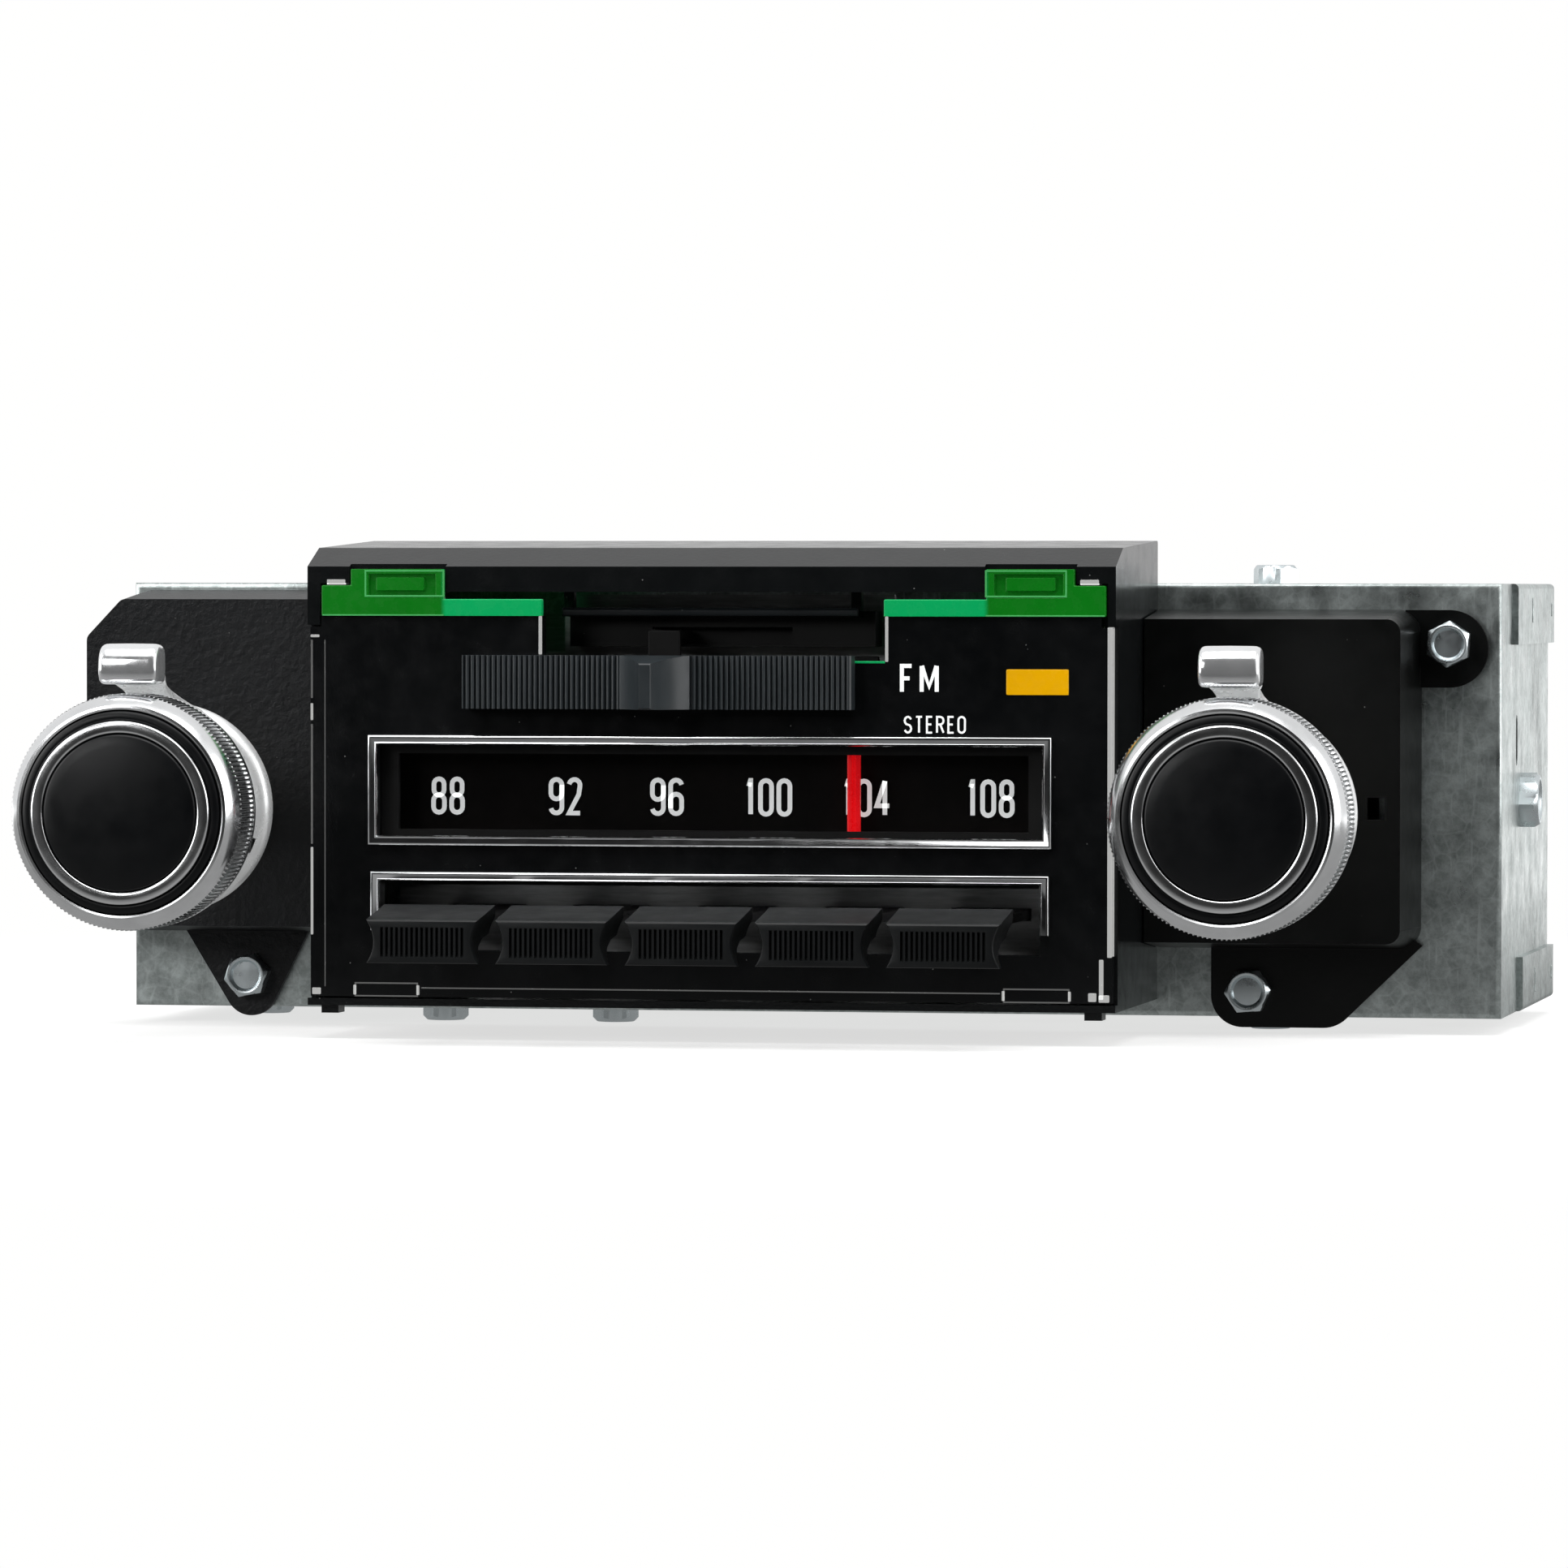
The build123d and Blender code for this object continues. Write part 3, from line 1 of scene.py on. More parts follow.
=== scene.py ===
"""Looks of a pushbutton car radio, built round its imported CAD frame.

Lengths in the making functions are millimetres; piece() turns them into metres.
X is to the right seen from the front, Y from the front to the back, Z up.
"""

import json
from math import cos, hypot, pi, radians, sin

import bmesh
import bpy
from mathutils import Matrix, Vector


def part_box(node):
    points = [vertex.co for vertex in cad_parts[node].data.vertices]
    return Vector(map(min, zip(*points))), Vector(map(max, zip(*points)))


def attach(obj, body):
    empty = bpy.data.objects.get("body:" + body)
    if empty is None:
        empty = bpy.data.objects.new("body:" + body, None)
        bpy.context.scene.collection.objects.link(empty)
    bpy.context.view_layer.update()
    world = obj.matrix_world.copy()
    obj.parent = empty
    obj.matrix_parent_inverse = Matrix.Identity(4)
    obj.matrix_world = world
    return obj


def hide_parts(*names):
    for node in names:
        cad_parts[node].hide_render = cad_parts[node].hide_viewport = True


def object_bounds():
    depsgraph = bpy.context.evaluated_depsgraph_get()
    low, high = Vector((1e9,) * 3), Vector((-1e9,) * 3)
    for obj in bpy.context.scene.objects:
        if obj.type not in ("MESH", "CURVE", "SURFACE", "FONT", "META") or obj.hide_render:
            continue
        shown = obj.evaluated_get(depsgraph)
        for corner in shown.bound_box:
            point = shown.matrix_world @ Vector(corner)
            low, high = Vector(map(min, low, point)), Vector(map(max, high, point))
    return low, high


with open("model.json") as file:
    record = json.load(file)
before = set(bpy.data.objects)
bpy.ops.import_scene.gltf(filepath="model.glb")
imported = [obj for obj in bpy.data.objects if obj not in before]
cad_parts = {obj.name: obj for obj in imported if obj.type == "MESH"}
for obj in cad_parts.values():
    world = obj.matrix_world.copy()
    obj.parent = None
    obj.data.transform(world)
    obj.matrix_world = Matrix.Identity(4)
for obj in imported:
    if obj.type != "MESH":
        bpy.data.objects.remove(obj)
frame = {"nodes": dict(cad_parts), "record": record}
cad_low, cad_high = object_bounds()

MM = 0.001
WELD = 1e-6                         # metres within which points are one
EVEN = (1.0, 1.0, 1.0)              # how a grain is scaled along X, Y and Z
ALONG_X = (0.6, 6.0, 6.0)
ALONG_Y = (6.0, 0.6, 6.0)
ALONG_Z = (6.0, 6.0, 0.6)
MATERIALS = {}
SLOT_OF = {part["node"]: part["material_slot"] for part in frame["record"]["subparts"]}


def span(node):
    """Lowest and highest corner of a CAD node, in millimetres."""
    low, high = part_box(node)
    return low / MM, high / MM


# ---- materials ----
class Net:
    """A shader net, with short ways to add nodes to it."""

    def __init__(self, owner):
        owner.use_nodes = True
        self.nodes, self.links = owner.node_tree.nodes, owner.node_tree.links

    def add(self, kind, inputs, output=0, **settings):
        """The output of a new node. Each of its inputs is a value or another node's output."""
        node = self.nodes.new(f"ShaderNode{kind}")
        for setting, value in settings.items():
            setattr(node, setting, value)
        for socket, value in inputs.items():
            if isinstance(value, bpy.types.NodeSocket):
                self.links.new(value, node.inputs[socket])
            else:
                node.inputs[socket].default_value = value
        return node.outputs[output]

    def fade(self, source, start, end, low, high):
        """A smooth change from low to high while the source goes from start to end."""
        inputs = {"Value": source, "From Min": start, "From Max": end, "To Min": low, "To Max": high}
        return self.add("MapRange", inputs, "Result", interpolation_type="SMOOTHSTEP")

    def close(self, kind, reflected, seen):
        """End the net: one shader for the camera's own rays and one for all others."""
        ray = self.add("LightPath", {}, "Is Camera Ray")
        both = self.add("MixShader", {"Fac": ray, 1: reflected, 2: seen})
        self.links.new(both, self.nodes.new(f"ShaderNode{kind}").inputs["Surface"])


class Surface(Net):
    """A material with a Principled shader, kept in MATERIALS under its name."""

    def __init__(self, name, colour, roughness, metallic=0.0, shine=0.5, **more):
        MATERIALS[name] = bpy.data.materials.new(name)
        super().__init__(MATERIALS[name])
        self.shader = self.nodes["Principled BSDF"]
        self.set("Base Color", (*colour, 1.0))
        self.set("Roughness", roughness)
        self.set("Metallic", metallic)
        self.set("Specular IOR Level", shine)
        for socket, value in more.items():
            self.set(socket.replace("_", " "), value)

    def set(self, socket, value):
        self.shader.inputs[socket].default_value = value

    def place(self, stretch=EVEN):
        """The place on the object in metres, scaled along its axes."""
        return self.add("Mapping", {"Vector": self.add("TexCoord", {}, "Object"), "Scale": stretch}, "Vector")

    def noise(self, scale, detail=3.0, stretch=EVEN, rough=0.55):
        inputs = {"Vector": self.place(stretch), "Scale": scale, "Detail": detail, "Roughness": rough}
        return self.add("TexNoise", inputs, "Fac")

    def cells(self, scale, output="Color", feature="F1"):
        return self.add("TexVoronoi", {"Vector": self.place(), "Scale": scale}, output, feature=feature)

    def ramp(self, factor, stops):
        """Colours or greys at places along a factor: stops are (place, colour or grey)."""
        output = self.add("ValToRGB", {"Fac": factor}, "Color")
        elements = output.node.color_ramp.elements
        while len(elements) < len(stops):
            elements.new(0.5)
        for element, (place, value) in zip(elements, stops):
            element.position = place
            element.color = (*value, 1.0) if isinstance(value, tuple) else (value, value, value, 1.0)
        return output

    def blend(self, factor, first, second, start=0.3, end=0.7):
        """From one colour or grey to another while the factor goes from start to end."""
        return self.ramp(factor, [(start, first), (end, second)])

    def mix(self, factor, first, second, blend="MIX"):
        inputs = {"Factor": factor, "A": first, "B": second}
        return self.add("Mix", inputs, "Result", data_type="RGBA", blend_type=blend)

    def overlay(self, factor, base, colour):
        """One even colour over a base, as strong as the factor."""
        return self.mix(factor, base, self.blend(factor, colour, colour, 0.0, 1.0))

    def colour(self, output):
        self.links.new(output, self.shader.inputs["Base Color"])

    def rough(self, output):
        self.links.new(output, self.shader.inputs["Roughness"])

    def bump(self, height, strength, depth):
        """Relief of the given depth in millimetres, on top of any added before."""
        normal = self.shader.inputs["Normal"]
        inputs = {"Strength": strength, "Distance": depth * MM, "Height": height}
        if normal.is_linked:
            inputs["Normal"] = normal.links[0].from_socket
        self.links.new(self.add("Bump", inputs, "Normal"), normal)

    def dust(self, base, speck, scale, amount):
        """Small pale specks over a base colour."""
        spots = self.blend(self.cells(scale, "Distance"), 1.0, 0.0, 0.0, amount)
        some = self.blend(self.cells(scale), 0.0, 1.0, 0.72, 0.8)
        return self.overlay(self.mix(1.0, spots, some, "MULTIPLY"), base, speck)


def shades(colour, spread):
    """A darker and a lighter version of a colour."""
    return [tuple(min(1.0, max(0.0, part * share)) for part in colour) for share in (1 - spread, 1 + spread)]


def galvanised(name):
    """Zinc-coated sheet: a net of pale crystal borders, cloudy patches and fine upright scratches."""
    made = Surface(name, (0.5, 0.54, 0.54), 0.36, metallic=1.0)
    pale, grey, dark = (0.74, 0.8, 0.79), (0.46, 0.51, 0.5), (0.22, 0.245, 0.24)
    clouds = made.ramp(made.noise(55.0, 6.0, EVEN, 0.65), [(0.34, dark), (0.5, grey), (0.68, (0.6, 0.66, 0.65))])
    fine = made.blend(made.noise(620.0, 6.0, EVEN, 0.75), dark, pale, 0.36, 0.62)
    borders = made.blend(made.cells(330.0, "Distance", "DISTANCE_TO_EDGE"), 0.3, 0.0, 0.0, 0.07)
    base = made.overlay(borders, made.mix(0.42, clouds, fine), pale)
    scratches = made.blend(made.noise(75.0, 6.0, (12.0, 12.0, 1.0), 0.7), 0.0, 0.55, 0.58, 0.64)
    made.colour(made.overlay(scratches, base, pale))
    made.rough(made.blend(made.noise(160.0, 6.0), 0.26, 0.46))
    made.bump(made.noise(700.0, 3.0, (2.0, 2.0, 0.5)), 0.3, 0.06)
    made.bump(made.cells(300.0, "Distance", "DISTANCE_TO_EDGE"), 0.12, 0.05)


def bright_metal(name, colour, roughness, grain, scuffs=0.06):
    """Plated or polished metal with faint scuffs that change its gloss."""
    made = Surface(name, colour, roughness, metallic=1.0)
    made.colour(made.blend(made.noise(150.0, 4.0), *shades(colour, 0.08)))
    made.rough(made.blend(made.noise(grain, 5.0), roughness, roughness + scuffs, 0.35, 0.75))
    made.bump(made.noise(grain * 2, 2.0), 0.03, 0.01)


def worked_metal(name, colour, roughness, stretch):
    """Rolled, turned or cast metal with its grain along one axis."""
    made = Surface(name, colour, roughness, metallic=1.0)
    grain = made.noise(260.0, 5.0, stretch)
    made.colour(made.blend(grain, *shades(colour, 0.22)))
    made.rough(made.blend(grain, roughness - 0.08, roughness + 0.1))
    made.bump(grain, 0.3, 0.06)


def moulded(name, colour, roughness, grain=2600.0, relief=0.03, speck=None, spread=0.18, shine=0.5):
    """Moulded plastic or smooth paint: fine grain, slight cloudiness and some dust."""
    made = Surface(name, colour, roughness, shine=shine)
    base = made.blend(made.noise(110.0, 4.0), *shades(colour, spread))
    made.colour(made.dust(base, speck, 420.0, 0.055) if speck else base)
    made.rough(made.blend(made.noise(240.0, 4.0), roughness - 0.04, roughness + 0.06))
    made.bump(made.noise(grain, 2.0), 0.4, relief)


def wrinkled(name, colour):
    """Wrinkle paint: close irregular ridges with a little dust in them."""
    made = Surface(name, colour, 0.42, shine=0.3)
    base = made.blend(made.noise(140.0, 5.0), *shades(colour, 0.3))
    made.colour(made.dust(base, (0.22, 0.22, 0.21), 500.0, 0.05))
    made.bump(made.noise(900.0, 4.0, EVEN, 0.65), 0.7, 0.25)
    made.bump(made.cells(700.0, "Distance"), 0.3, 0.12)


def glossy_black(name):
    """Clear plate painted black behind: deep gloss and dust specks."""
    made = Surface(name, (0.006, 0.0066, 0.007), 0.26, shine=0.3)
    base = made.blend(made.noise(60.0, 5.0), (0.0018, 0.0022, 0.0025), (0.0055, 0.006, 0.0065), 0.3, 0.72)
    made.colour(made.dust(base, (0.3, 0.31, 0.3), 360.0, 0.05))
    made.rough(made.blend(made.noise(300.0, 5.0), 0.18, 0.3, 0.35, 0.75))
    made.bump(made.noise(1500.0, 2.0), 0.08, 0.01)


def clear(name, tint, roughness, glow=0.0):
    """Clear acrylic or glass with slight surface wear. A glow, when given, is painted light: an emission that makes
    cut edges look lit.
    """
    made = Surface(name, tint, roughness, Transmission_Weight=1.0, IOR=1.45)
    made.rough(made.blend(made.noise(500.0, 4.0), roughness, roughness + 0.05, 0.4, 0.8))
    # painted glow: clear edges shine by their own emission, not by the lamps
    if glow:
        made.set("Emission Color", (1.0, 1.0, 0.98, 1.0))
        made.set("Emission Strength", glow)


def window(name):
    """Thin clear window: light passes straight through, with a faint shine and wear."""
    made = Surface(name, (0.0, 0.0, 0.0), 0.08, Alpha=0.05)
    made.rough(made.blend(made.noise(400.0, 4.0), 0.05, 0.16, 0.4, 0.8))


def lit_plastic(name, body, glow, strip=None, seam=None):
    """Translucent plastic with a painted glow: it gives off its own colour though no lamp lights it. Past the seam, a
    range of X, it has the strip's colour, a painted highlight where the edge looks lit.
    """
    made = Surface(name, body, 0.26, shine=0.28)
    mottle = made.noise(60.0, 3.0)
    colour = made.blend(mottle, *shades(body, 0.1))
    if seam:
        along = made.add("SeparateXYZ", {"Vector": made.place()}, "X")
        limits = {"Value": along, "From Min": seam[0] * MM, "From Max": seam[1] * MM}
        past = made.add("MapRange", limits, "Result")
        colour = made.mix(past, colour, made.blend(mottle, *shades(strip, 0.06)))
    made.colour(colour)
    # painted glow: the colour is also given off as light
    made.links.new(colour, made.shader.inputs["Emission Color"])
    made.set("Emission Strength", glow)
    made.rough(made.blend(made.noise(700.0, 3.0), 0.2, 0.34))
    made.bump(made.noise(1800.0, 2.0), 0.1, 0.02)


def satin_metal(name, colour, metallic=0.45, roughness=0.28):
    """Plating that looks softly white rather than mirror-like, with faint turning marks."""
    made = Surface(name, colour, roughness, metallic=metallic)
    made.colour(made.blend(made.noise(180.0, 4.0), *shades(colour, 0.05)))
    made.rough(made.blend(made.noise(400.0, 4.0), roughness - 0.04, roughness + 0.06))
    made.bump(made.noise(1500.0, 2.0), 0.06, 0.02)


def printed(name):
    """Pale printing ink with slight unevenness, and a painted glow that keeps it bright though no lamp lights it."""
    made = Surface(name, (0.85, 0.86, 0.85), 0.5)
    made.colour(made.blend(made.noise(900.0, 3.0), (0.76, 0.78, 0.77), (0.92, 0.93, 0.92)))
    # painted glow on the print
    made.set("Emission Color", (0.8, 0.82, 0.82, 1.0))
    made.set("Emission Strength", 0.5)


PALE = (0.35, 0.35, 0.34)
DARK_GREEN = (0.003, 0.155, 0.007)
# brighter green of the filters' lit top edge: a painted highlight
LIT_EDGE_GREEN = (0.002, 0.36, 0.1)
SEAM_LEFT = [span("green_filter_left")[1].x - end for end in (15.9, 15.1)]
SEAM_RIGHT = [span("green_filter_right")[0].x + end for end in (16.2, 15.4)]

galvanised("galvanised")
worked_metal("heat_sink_metal", (0.5, 0.51, 0.52), 0.5, EVEN)
bright_metal("transistor_metal", (0.62, 0.62, 0.6), 0.28, 300.0)
bright_metal("plated_brass", (0.72, 0.68, 0.55), 0.3, 300.0)
moulded("socket_plastic", (0.05, 0.045, 0.04), 0.4, speck=PALE)
wrinkled("wrinkle_black", (0.005, 0.0056, 0.0066))
moulded("satin_black", (0.0016, 0.0019, 0.0018), 0.32, 1500.0, 0.04, PALE, shine=0.24)
bright_metal("zinc_screw", (0.68, 0.74, 0.76), 0.24, 500.0, 0.14)
moulded("nose_plastic", (0.005, 0.0058, 0.0062), 0.18, 1700.0, 0.05, PALE, shine=0.35)
glossy_black("dial_black")
window("clear_plastic")
bright_metal("chrome_trim", (0.86, 0.87, 0.88), 0.1, 260.0)
# the green, amber and red plastics glow: painted light, no lamp lights them
lit_plastic("green_plastic", DARK_GREEN, 0.22, LIT_EDGE_GREEN, SEAM_LEFT)
moulded("dial_print", (0.003, 0.0022, 0.002), 0.7, 900.0, 0.03, spread=0.6, shine=0.12)
moulded("box_black", (0.006, 0.006, 0.006), 0.5, speck=PALE, shine=0.25)
clear("lamp_glass", (0.95, 0.92, 0.85), 0.03)
lit_plastic("amber_plastic", (0.8, 0.4, 0.0004), 0.2)
worked_metal("frame_steel", (0.45, 0.46, 0.46), 0.36, ALONG_X)
worked_metal("spring_steel", (0.42, 0.42, 0.44), 0.3, EVEN)
moulded("board_laminate", (0.3, 0.18, 0.07), 0.5, 900.0, 0.05)
worked_metal("can_metal", (0.72, 0.73, 0.74), 0.3, ALONG_Z)
moulded("capacitor_sleeve", (0.03, 0.06, 0.2), 0.35)
moulded("coil_form", (0.35, 0.06, 0.03), 0.4)
moulded("control_case", (0.12, 0.06, 0.03), 0.45)
moulded("cord_braid", (0.42, 0.4, 0.33), 0.7, 3500.0, 0.15)
bright_metal("knob_chrome", (0.88, 0.89, 0.9), 0.17, 220.0)
moulded("knob_black", (0.002, 0.0024, 0.003), 0.34, 2200.0, 0.012, spread=0.12, shine=0.28)
worked_metal("shaft_steel", (0.6, 0.6, 0.6), 0.25, ALONG_Y)
moulded("slider_plastic", (0.018, 0.0235, 0.027), 0.36, 1800.0, 0.03, PALE, shine=0.6)
moulded("button_plastic", (0.006, 0.0068, 0.0072), 0.38, 1800.0, 0.015, shine=0.26)
worked_metal("slide_steel", (0.45, 0.45, 0.46), 0.34, ALONG_Y)
lit_plastic("pointer_red", (0.75, 0.006, 0.01), 0.45)
moulded("core_ferrite", (0.07, 0.065, 0.06), 0.55)
bright_metal("rack_metal", (0.7, 0.55, 0.3), 0.3, 300.0)
# the rest aren't slots of their own, but other looks within one
printed("print")
# these two glow: painted highlights for the plate's clear edges and edge lines
clear("glowing_clear_edge", (0.95, 0.97, 0.97), 0.06, 0.42)
clear("glowing_edge_line", (0.8, 0.83, 0.84), 0.2, 0.1)
lit_plastic("green_right", DARK_GREEN, 0.22, LIT_EDGE_GREEN, SEAM_RIGHT)
# pale green glow of the filter rims: a painted highlight
lit_plastic("green_rim_glow", (0.06, 0.36, 0.1), 0.25)
satin_metal("satin_chrome", (0.93, 0.94, 0.94))
satin_metal("pad_chrome", (0.9, 0.91, 0.92), 0.8, 0.14)
# black that stands in for shade: painted shade, not a colour of the parts
moulded("painted_shade_black", (0.003, 0.003, 0.003), 0.5, shine=0.2)


# ---- making pieces ----
def piece(name, shape, slot, replaces=(), body="radio", bevel=0.0, segments=3, sharp=32.0, material=None):
    """A new piece from points in millimetres and faces, riding on a body."""
    points, faces = shape
    build = bmesh.new()
    corners = [build.verts.new(Vector(point) * MM) for point in points]
    for face in faces:
        build.faces.new([corners[index] for index in face])
    bmesh.ops.remove_doubles(build, verts=build.verts, dist=WELD)
    bmesh.ops.recalc_face_normals(build, faces=build.faces)
    mesh = bpy.data.meshes.new(name)
    build.to_mesh(mesh)
    build.free()
    mesh.shade_smooth()
    thing = bpy.data.objects.new(name, mesh)
    bpy.context.scene.collection.objects.link(thing)
    thing.data.materials.append(MATERIALS[material or slot])
    if bevel:
        soften(thing, bevel, segments, sharp)
    else:
        mesh.set_sharp_from_angle(angle=radians(sharp))
    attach(thing, body)
    if replaces:
        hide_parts(*replaces)
    return thing


def soften(thing, width, segments=2, sharp=32.0):
    """Round the sharp edges."""
    edges = thing.modifiers.new("round_edges", "BEVEL")
    edges.width = width * MM
    edges.segments = segments
    edges.limit_method = "ANGLE"
    edges.angle_limit = radians(sharp)
    edges.harden_normals = True


def joined(*shapes):
    """Several shapes as one."""
    points, faces = [], []
    for more_points, more_faces in shapes:
        start = len(points)
        points += more_points
        faces += [tuple(start + index for index in face) for face in more_faces]
    return points, faces


def prism(outline, low, high, axis):
    """A closed outline pushed from low to high along an axis. Its points are the other two axes, in order."""
    count, place = len(outline), "XYZ".index(axis)
    points = [(*spot[:place], along, *spot[place:]) for along in (low, high) for spot in outline]
    faces = [tuple(range(count)), tuple(range(2 * count - 1, count - 1, -1))]
    faces += [(turn, (turn + 1) % count, (turn + 1) % count + count, turn + count) for turn in range(count)]
    return points, faces


def block(low, high):
    """A straight-sided block between two corners."""
    outline = [(low[0], low[2]), (high[0], low[2]), (high[0], high[2]), (low[0], high[2])]
    return prism(outline, low[1], high[1], "Y")


def loft(rings):
    """Faces between rings of points with equal counts, with the two ends closed."""
    count = len(rings[0])
    points = [point for ring in rings for point in ring]
    faces = [tuple(range(count)), tuple(range(len(points) - 1, len(points) - count - 1, -1))]
    for ring in range(len(rings) - 1):
        for turn in range(count):
            here, there = ring * count + turn, ring * count + (turn + 1) % count
            faces.append((here, there, there + count, here + count))
    return points, faces


def lathe(profile, steps, centre, teeth=0, depth=0.0, dent=None):
    """A closed profile of (radius, y) turned about a Y axis through centre (x, z).

    teeth cuts that many straight teeth of the given depth into the rows marked (radius, y, True). dent is
    (angle, half angle, inner radius, outer radius, depth) of a notch pressed into the face.
    """
    points, faces, rows = [], [], len(profile)
    for step in range(steps):
        angle = 2 * pi * step / steps
        in_valley = teeth and (step * teeth * 4 // steps) % 4 >= 2
        for radius, y, *toothed in profile:
            if toothed and in_valley:
                radius -= depth
            if dent and abs(angle - dent[0]) < dent[1] and dent[2] < radius < dent[3]:
                y += dent[4]
            points.append((centre[0] + radius * sin(angle), y, centre[1] + radius * cos(angle)))
    for step in range(steps):
        near, far = step * rows, (step + 1) % steps * rows
        for row in range(rows):
            after = (row + 1) % rows
            if profile[row][0] or profile[after][0]:
                faces.append((near + row, near + after, far + after, far + row))
    return points, faces


def moulding(left, right, low, high, profile, open_below=False):
    """A profile of (inset, y) run round a rectangle with mitred corners."""
    rings = []
    for inset, y in profile:
        foot, head, near, far = low if open_below else low + inset, high - inset, left + inset, right - inset
        rings.append([(near, y, foot), (near, y, head), (far, y, head), (far, y, foot)])
    points = [point for ring in rings for point in ring]
    count, faces = len(rings), []
    sides = (0, 1, 2) if open_below else (0, 1, 2, 3)
    for ring in range(count):
        after = (ring + 1) % count
        for side in sides:
            turn = (side + 1) % 4
            faces.append((ring * 4 + side, ring * 4 + turn, after * 4 + turn, after * 4 + side))
    if open_below:
        faces += [tuple(ring * 4 for ring in range(count)), tuple(ring * 4 + 3 for ring in reversed(range(count)))]
    return points, faces


def hex_head(base, outward, across, height, recess=0.0, turn=0.0):
    """A hexagon screw head with a turned chamfer, standing on base and pointing outward."""
    outward = Vector(outward)
    first = Vector((0, 0, 1)) if abs(outward.z) < 0.5 else Vector((1, 0, 0))
    second = outward.cross(first)
    steps, flat, rings = 72, across / 2, []
    rows = (
        (None, 0.0), (None, height - 0.4), (0.985, height - 0.16), (0.93, height - 0.02), (0.86, height),
        (0.8, height - 0.08), (0.74, height - recess * 0.7), (0.68, height - recess), (0.4, height - recess + 0.06),
        (0.0, height - recess + 0.1),
    )
    for share, rise in rows:
        ring = []
        for step in range(steps):
            angle = 2 * pi * step / steps
            edge = flat / cos((angle + pi / 6) % (pi / 3) - pi / 6)
            radius = edge if share is None else flat * share
            up = rise - (edge - flat) * 0.6 if share is None and rise else rise
            way = angle + radians(turn)
            ring.append(tuple(Vector(base) + outward * up + first * radius * cos(way) + second * radius * sin(way)))
        rings.append(ring)
    points, faces = loft(rings)
    return points, faces[:1] + faces[2:]


def islands(node):
    """The boxes of a CAD node's separate solids, in millimetres."""
    build = bmesh.new()
    build.from_mesh(frame["nodes"][node].data)
    bmesh.ops.remove_doubles(build, verts=build.verts, dist=WELD)
    boxes, known = [], set()
    for start in build.verts:
        if start in known:
            continue
        known.add(start)
        group = [start]
        for vertex in group:
            near = {edge.other_vert(vertex) for edge in vertex.link_edges} - known
            known |= near
            group += near
        axes = list(zip(*[vertex.co / MM for vertex in group]))
        boxes.append((Vector([min(axis) for axis in axes]), Vector([max(axis) for axis in axes])))
    build.free()
    return boxes


# ---- numbers and letters ----
def arc(x, z, radius_x, radius_z, start, end, steps=8):
    """Points of an elliptical arc between two angles in degrees."""
    angles = [radians(start + (end - start) * step / steps) for step in range(steps + 1)]
    return [(x + radius_x * cos(angle), z + radius_z * sin(angle)) for angle in angles]


def oval(middle, radius, low, high):
    """A closed loop with half circles at its top and bottom."""
    upper = arc(middle, high - radius, radius, radius, 0, 180)
    return upper + arc(middle, low + radius, radius, radius, 180, 360), True


def glyph(letter, wide, high):
    """The strokes of a condensed letter or number: (points, closed) along each stroke's middle."""
    half = wide / 2
    if letter in "0O":
        return [oval(half, half, 0, high)]
    if letter == "1":
        return [([(0.12 * wide, 0.83 * high), (0.45 * wide, high), (half, high), (half, 0)], False)]
    if letter == "2":
        top = arc(half, high - half, half, half, 170, -10)
        return [(top + [(0.88 * wide, 0.55 * high), (0, 0), (wide, 0)], False)]
    if letter == "4":
        post, bar = 0.72 * wide, 0.27 * high
        return [([(post, 0), (post, high)], False), ([(post, high), (0, bar), (1.12 * wide, bar)], False)]
    if letter in "69":
        tail = [(0, half)] + arc(half, high - half, half, half, 180, 10)
        strokes = [oval(half, half, 0, 0.58 * high), (tail, False)]
        if letter == "9":
            strokes = [([(wide - x, high - z) for x, z in points], closed) for points, closed in strokes]
        return strokes
    if letter == "8":
        return [oval(half, half, 0, 0.52 * high), oval(half, 0.46 * wide, 0.52 * high, high)]
    if letter == "S":
        quarter = 0.25 * high
        upper = arc(half, high - quarter, half, quarter, 20, 270)
        return [(upper + arc(half, quarter, half, quarter, 90, -160)[1:], False)]
    if letter == "R":
        waist, bowl = 0.52 * high, arc(half, 0.76 * high, half, 0.24 * high, 90, -90)
        return [([(0, 0), (0, high)] + bowl + [(0, waist)], False), ([(half, waist), (wide, 0)], False)]
    straight = {
        "F": [[(0, 0), (0, 1), (1, 1)], [(0, 0.52), (0.8, 0.52)]],
        "M": [[(0, 0), (0, 1)], [(0.02, 1), (0.5, 0.2), (0.98, 1)], [(1, 1), (1, 0)]],
        "A": [[(0, 0), (0.5, 1), (1, 0)], [(0.2, 0.3), (0.8, 0.3)]],
        "T": [[(0, 1), (1, 1)], [(0.5, 0), (0.5, 1)]],
        "E": [[(1, 1), (0, 1), (0, 0), (1, 0)], [(0, 0.52), (0.85, 0.52)]],
    }[letter]
    return [([(x * wide, z * high) for x, z in stroke], False) for stroke in straight]


CLOSE = 0.01                # outline points nearer than this are one


def without_doubles(outline):
    """The outline without points that lie on the one before."""
    kept = outline[:1]
    for x, z in outline[1:]:
        if hypot(x - kept[-1][0], z - kept[-1][1]) > CLOSE:
            kept.append((x, z))
    return kept


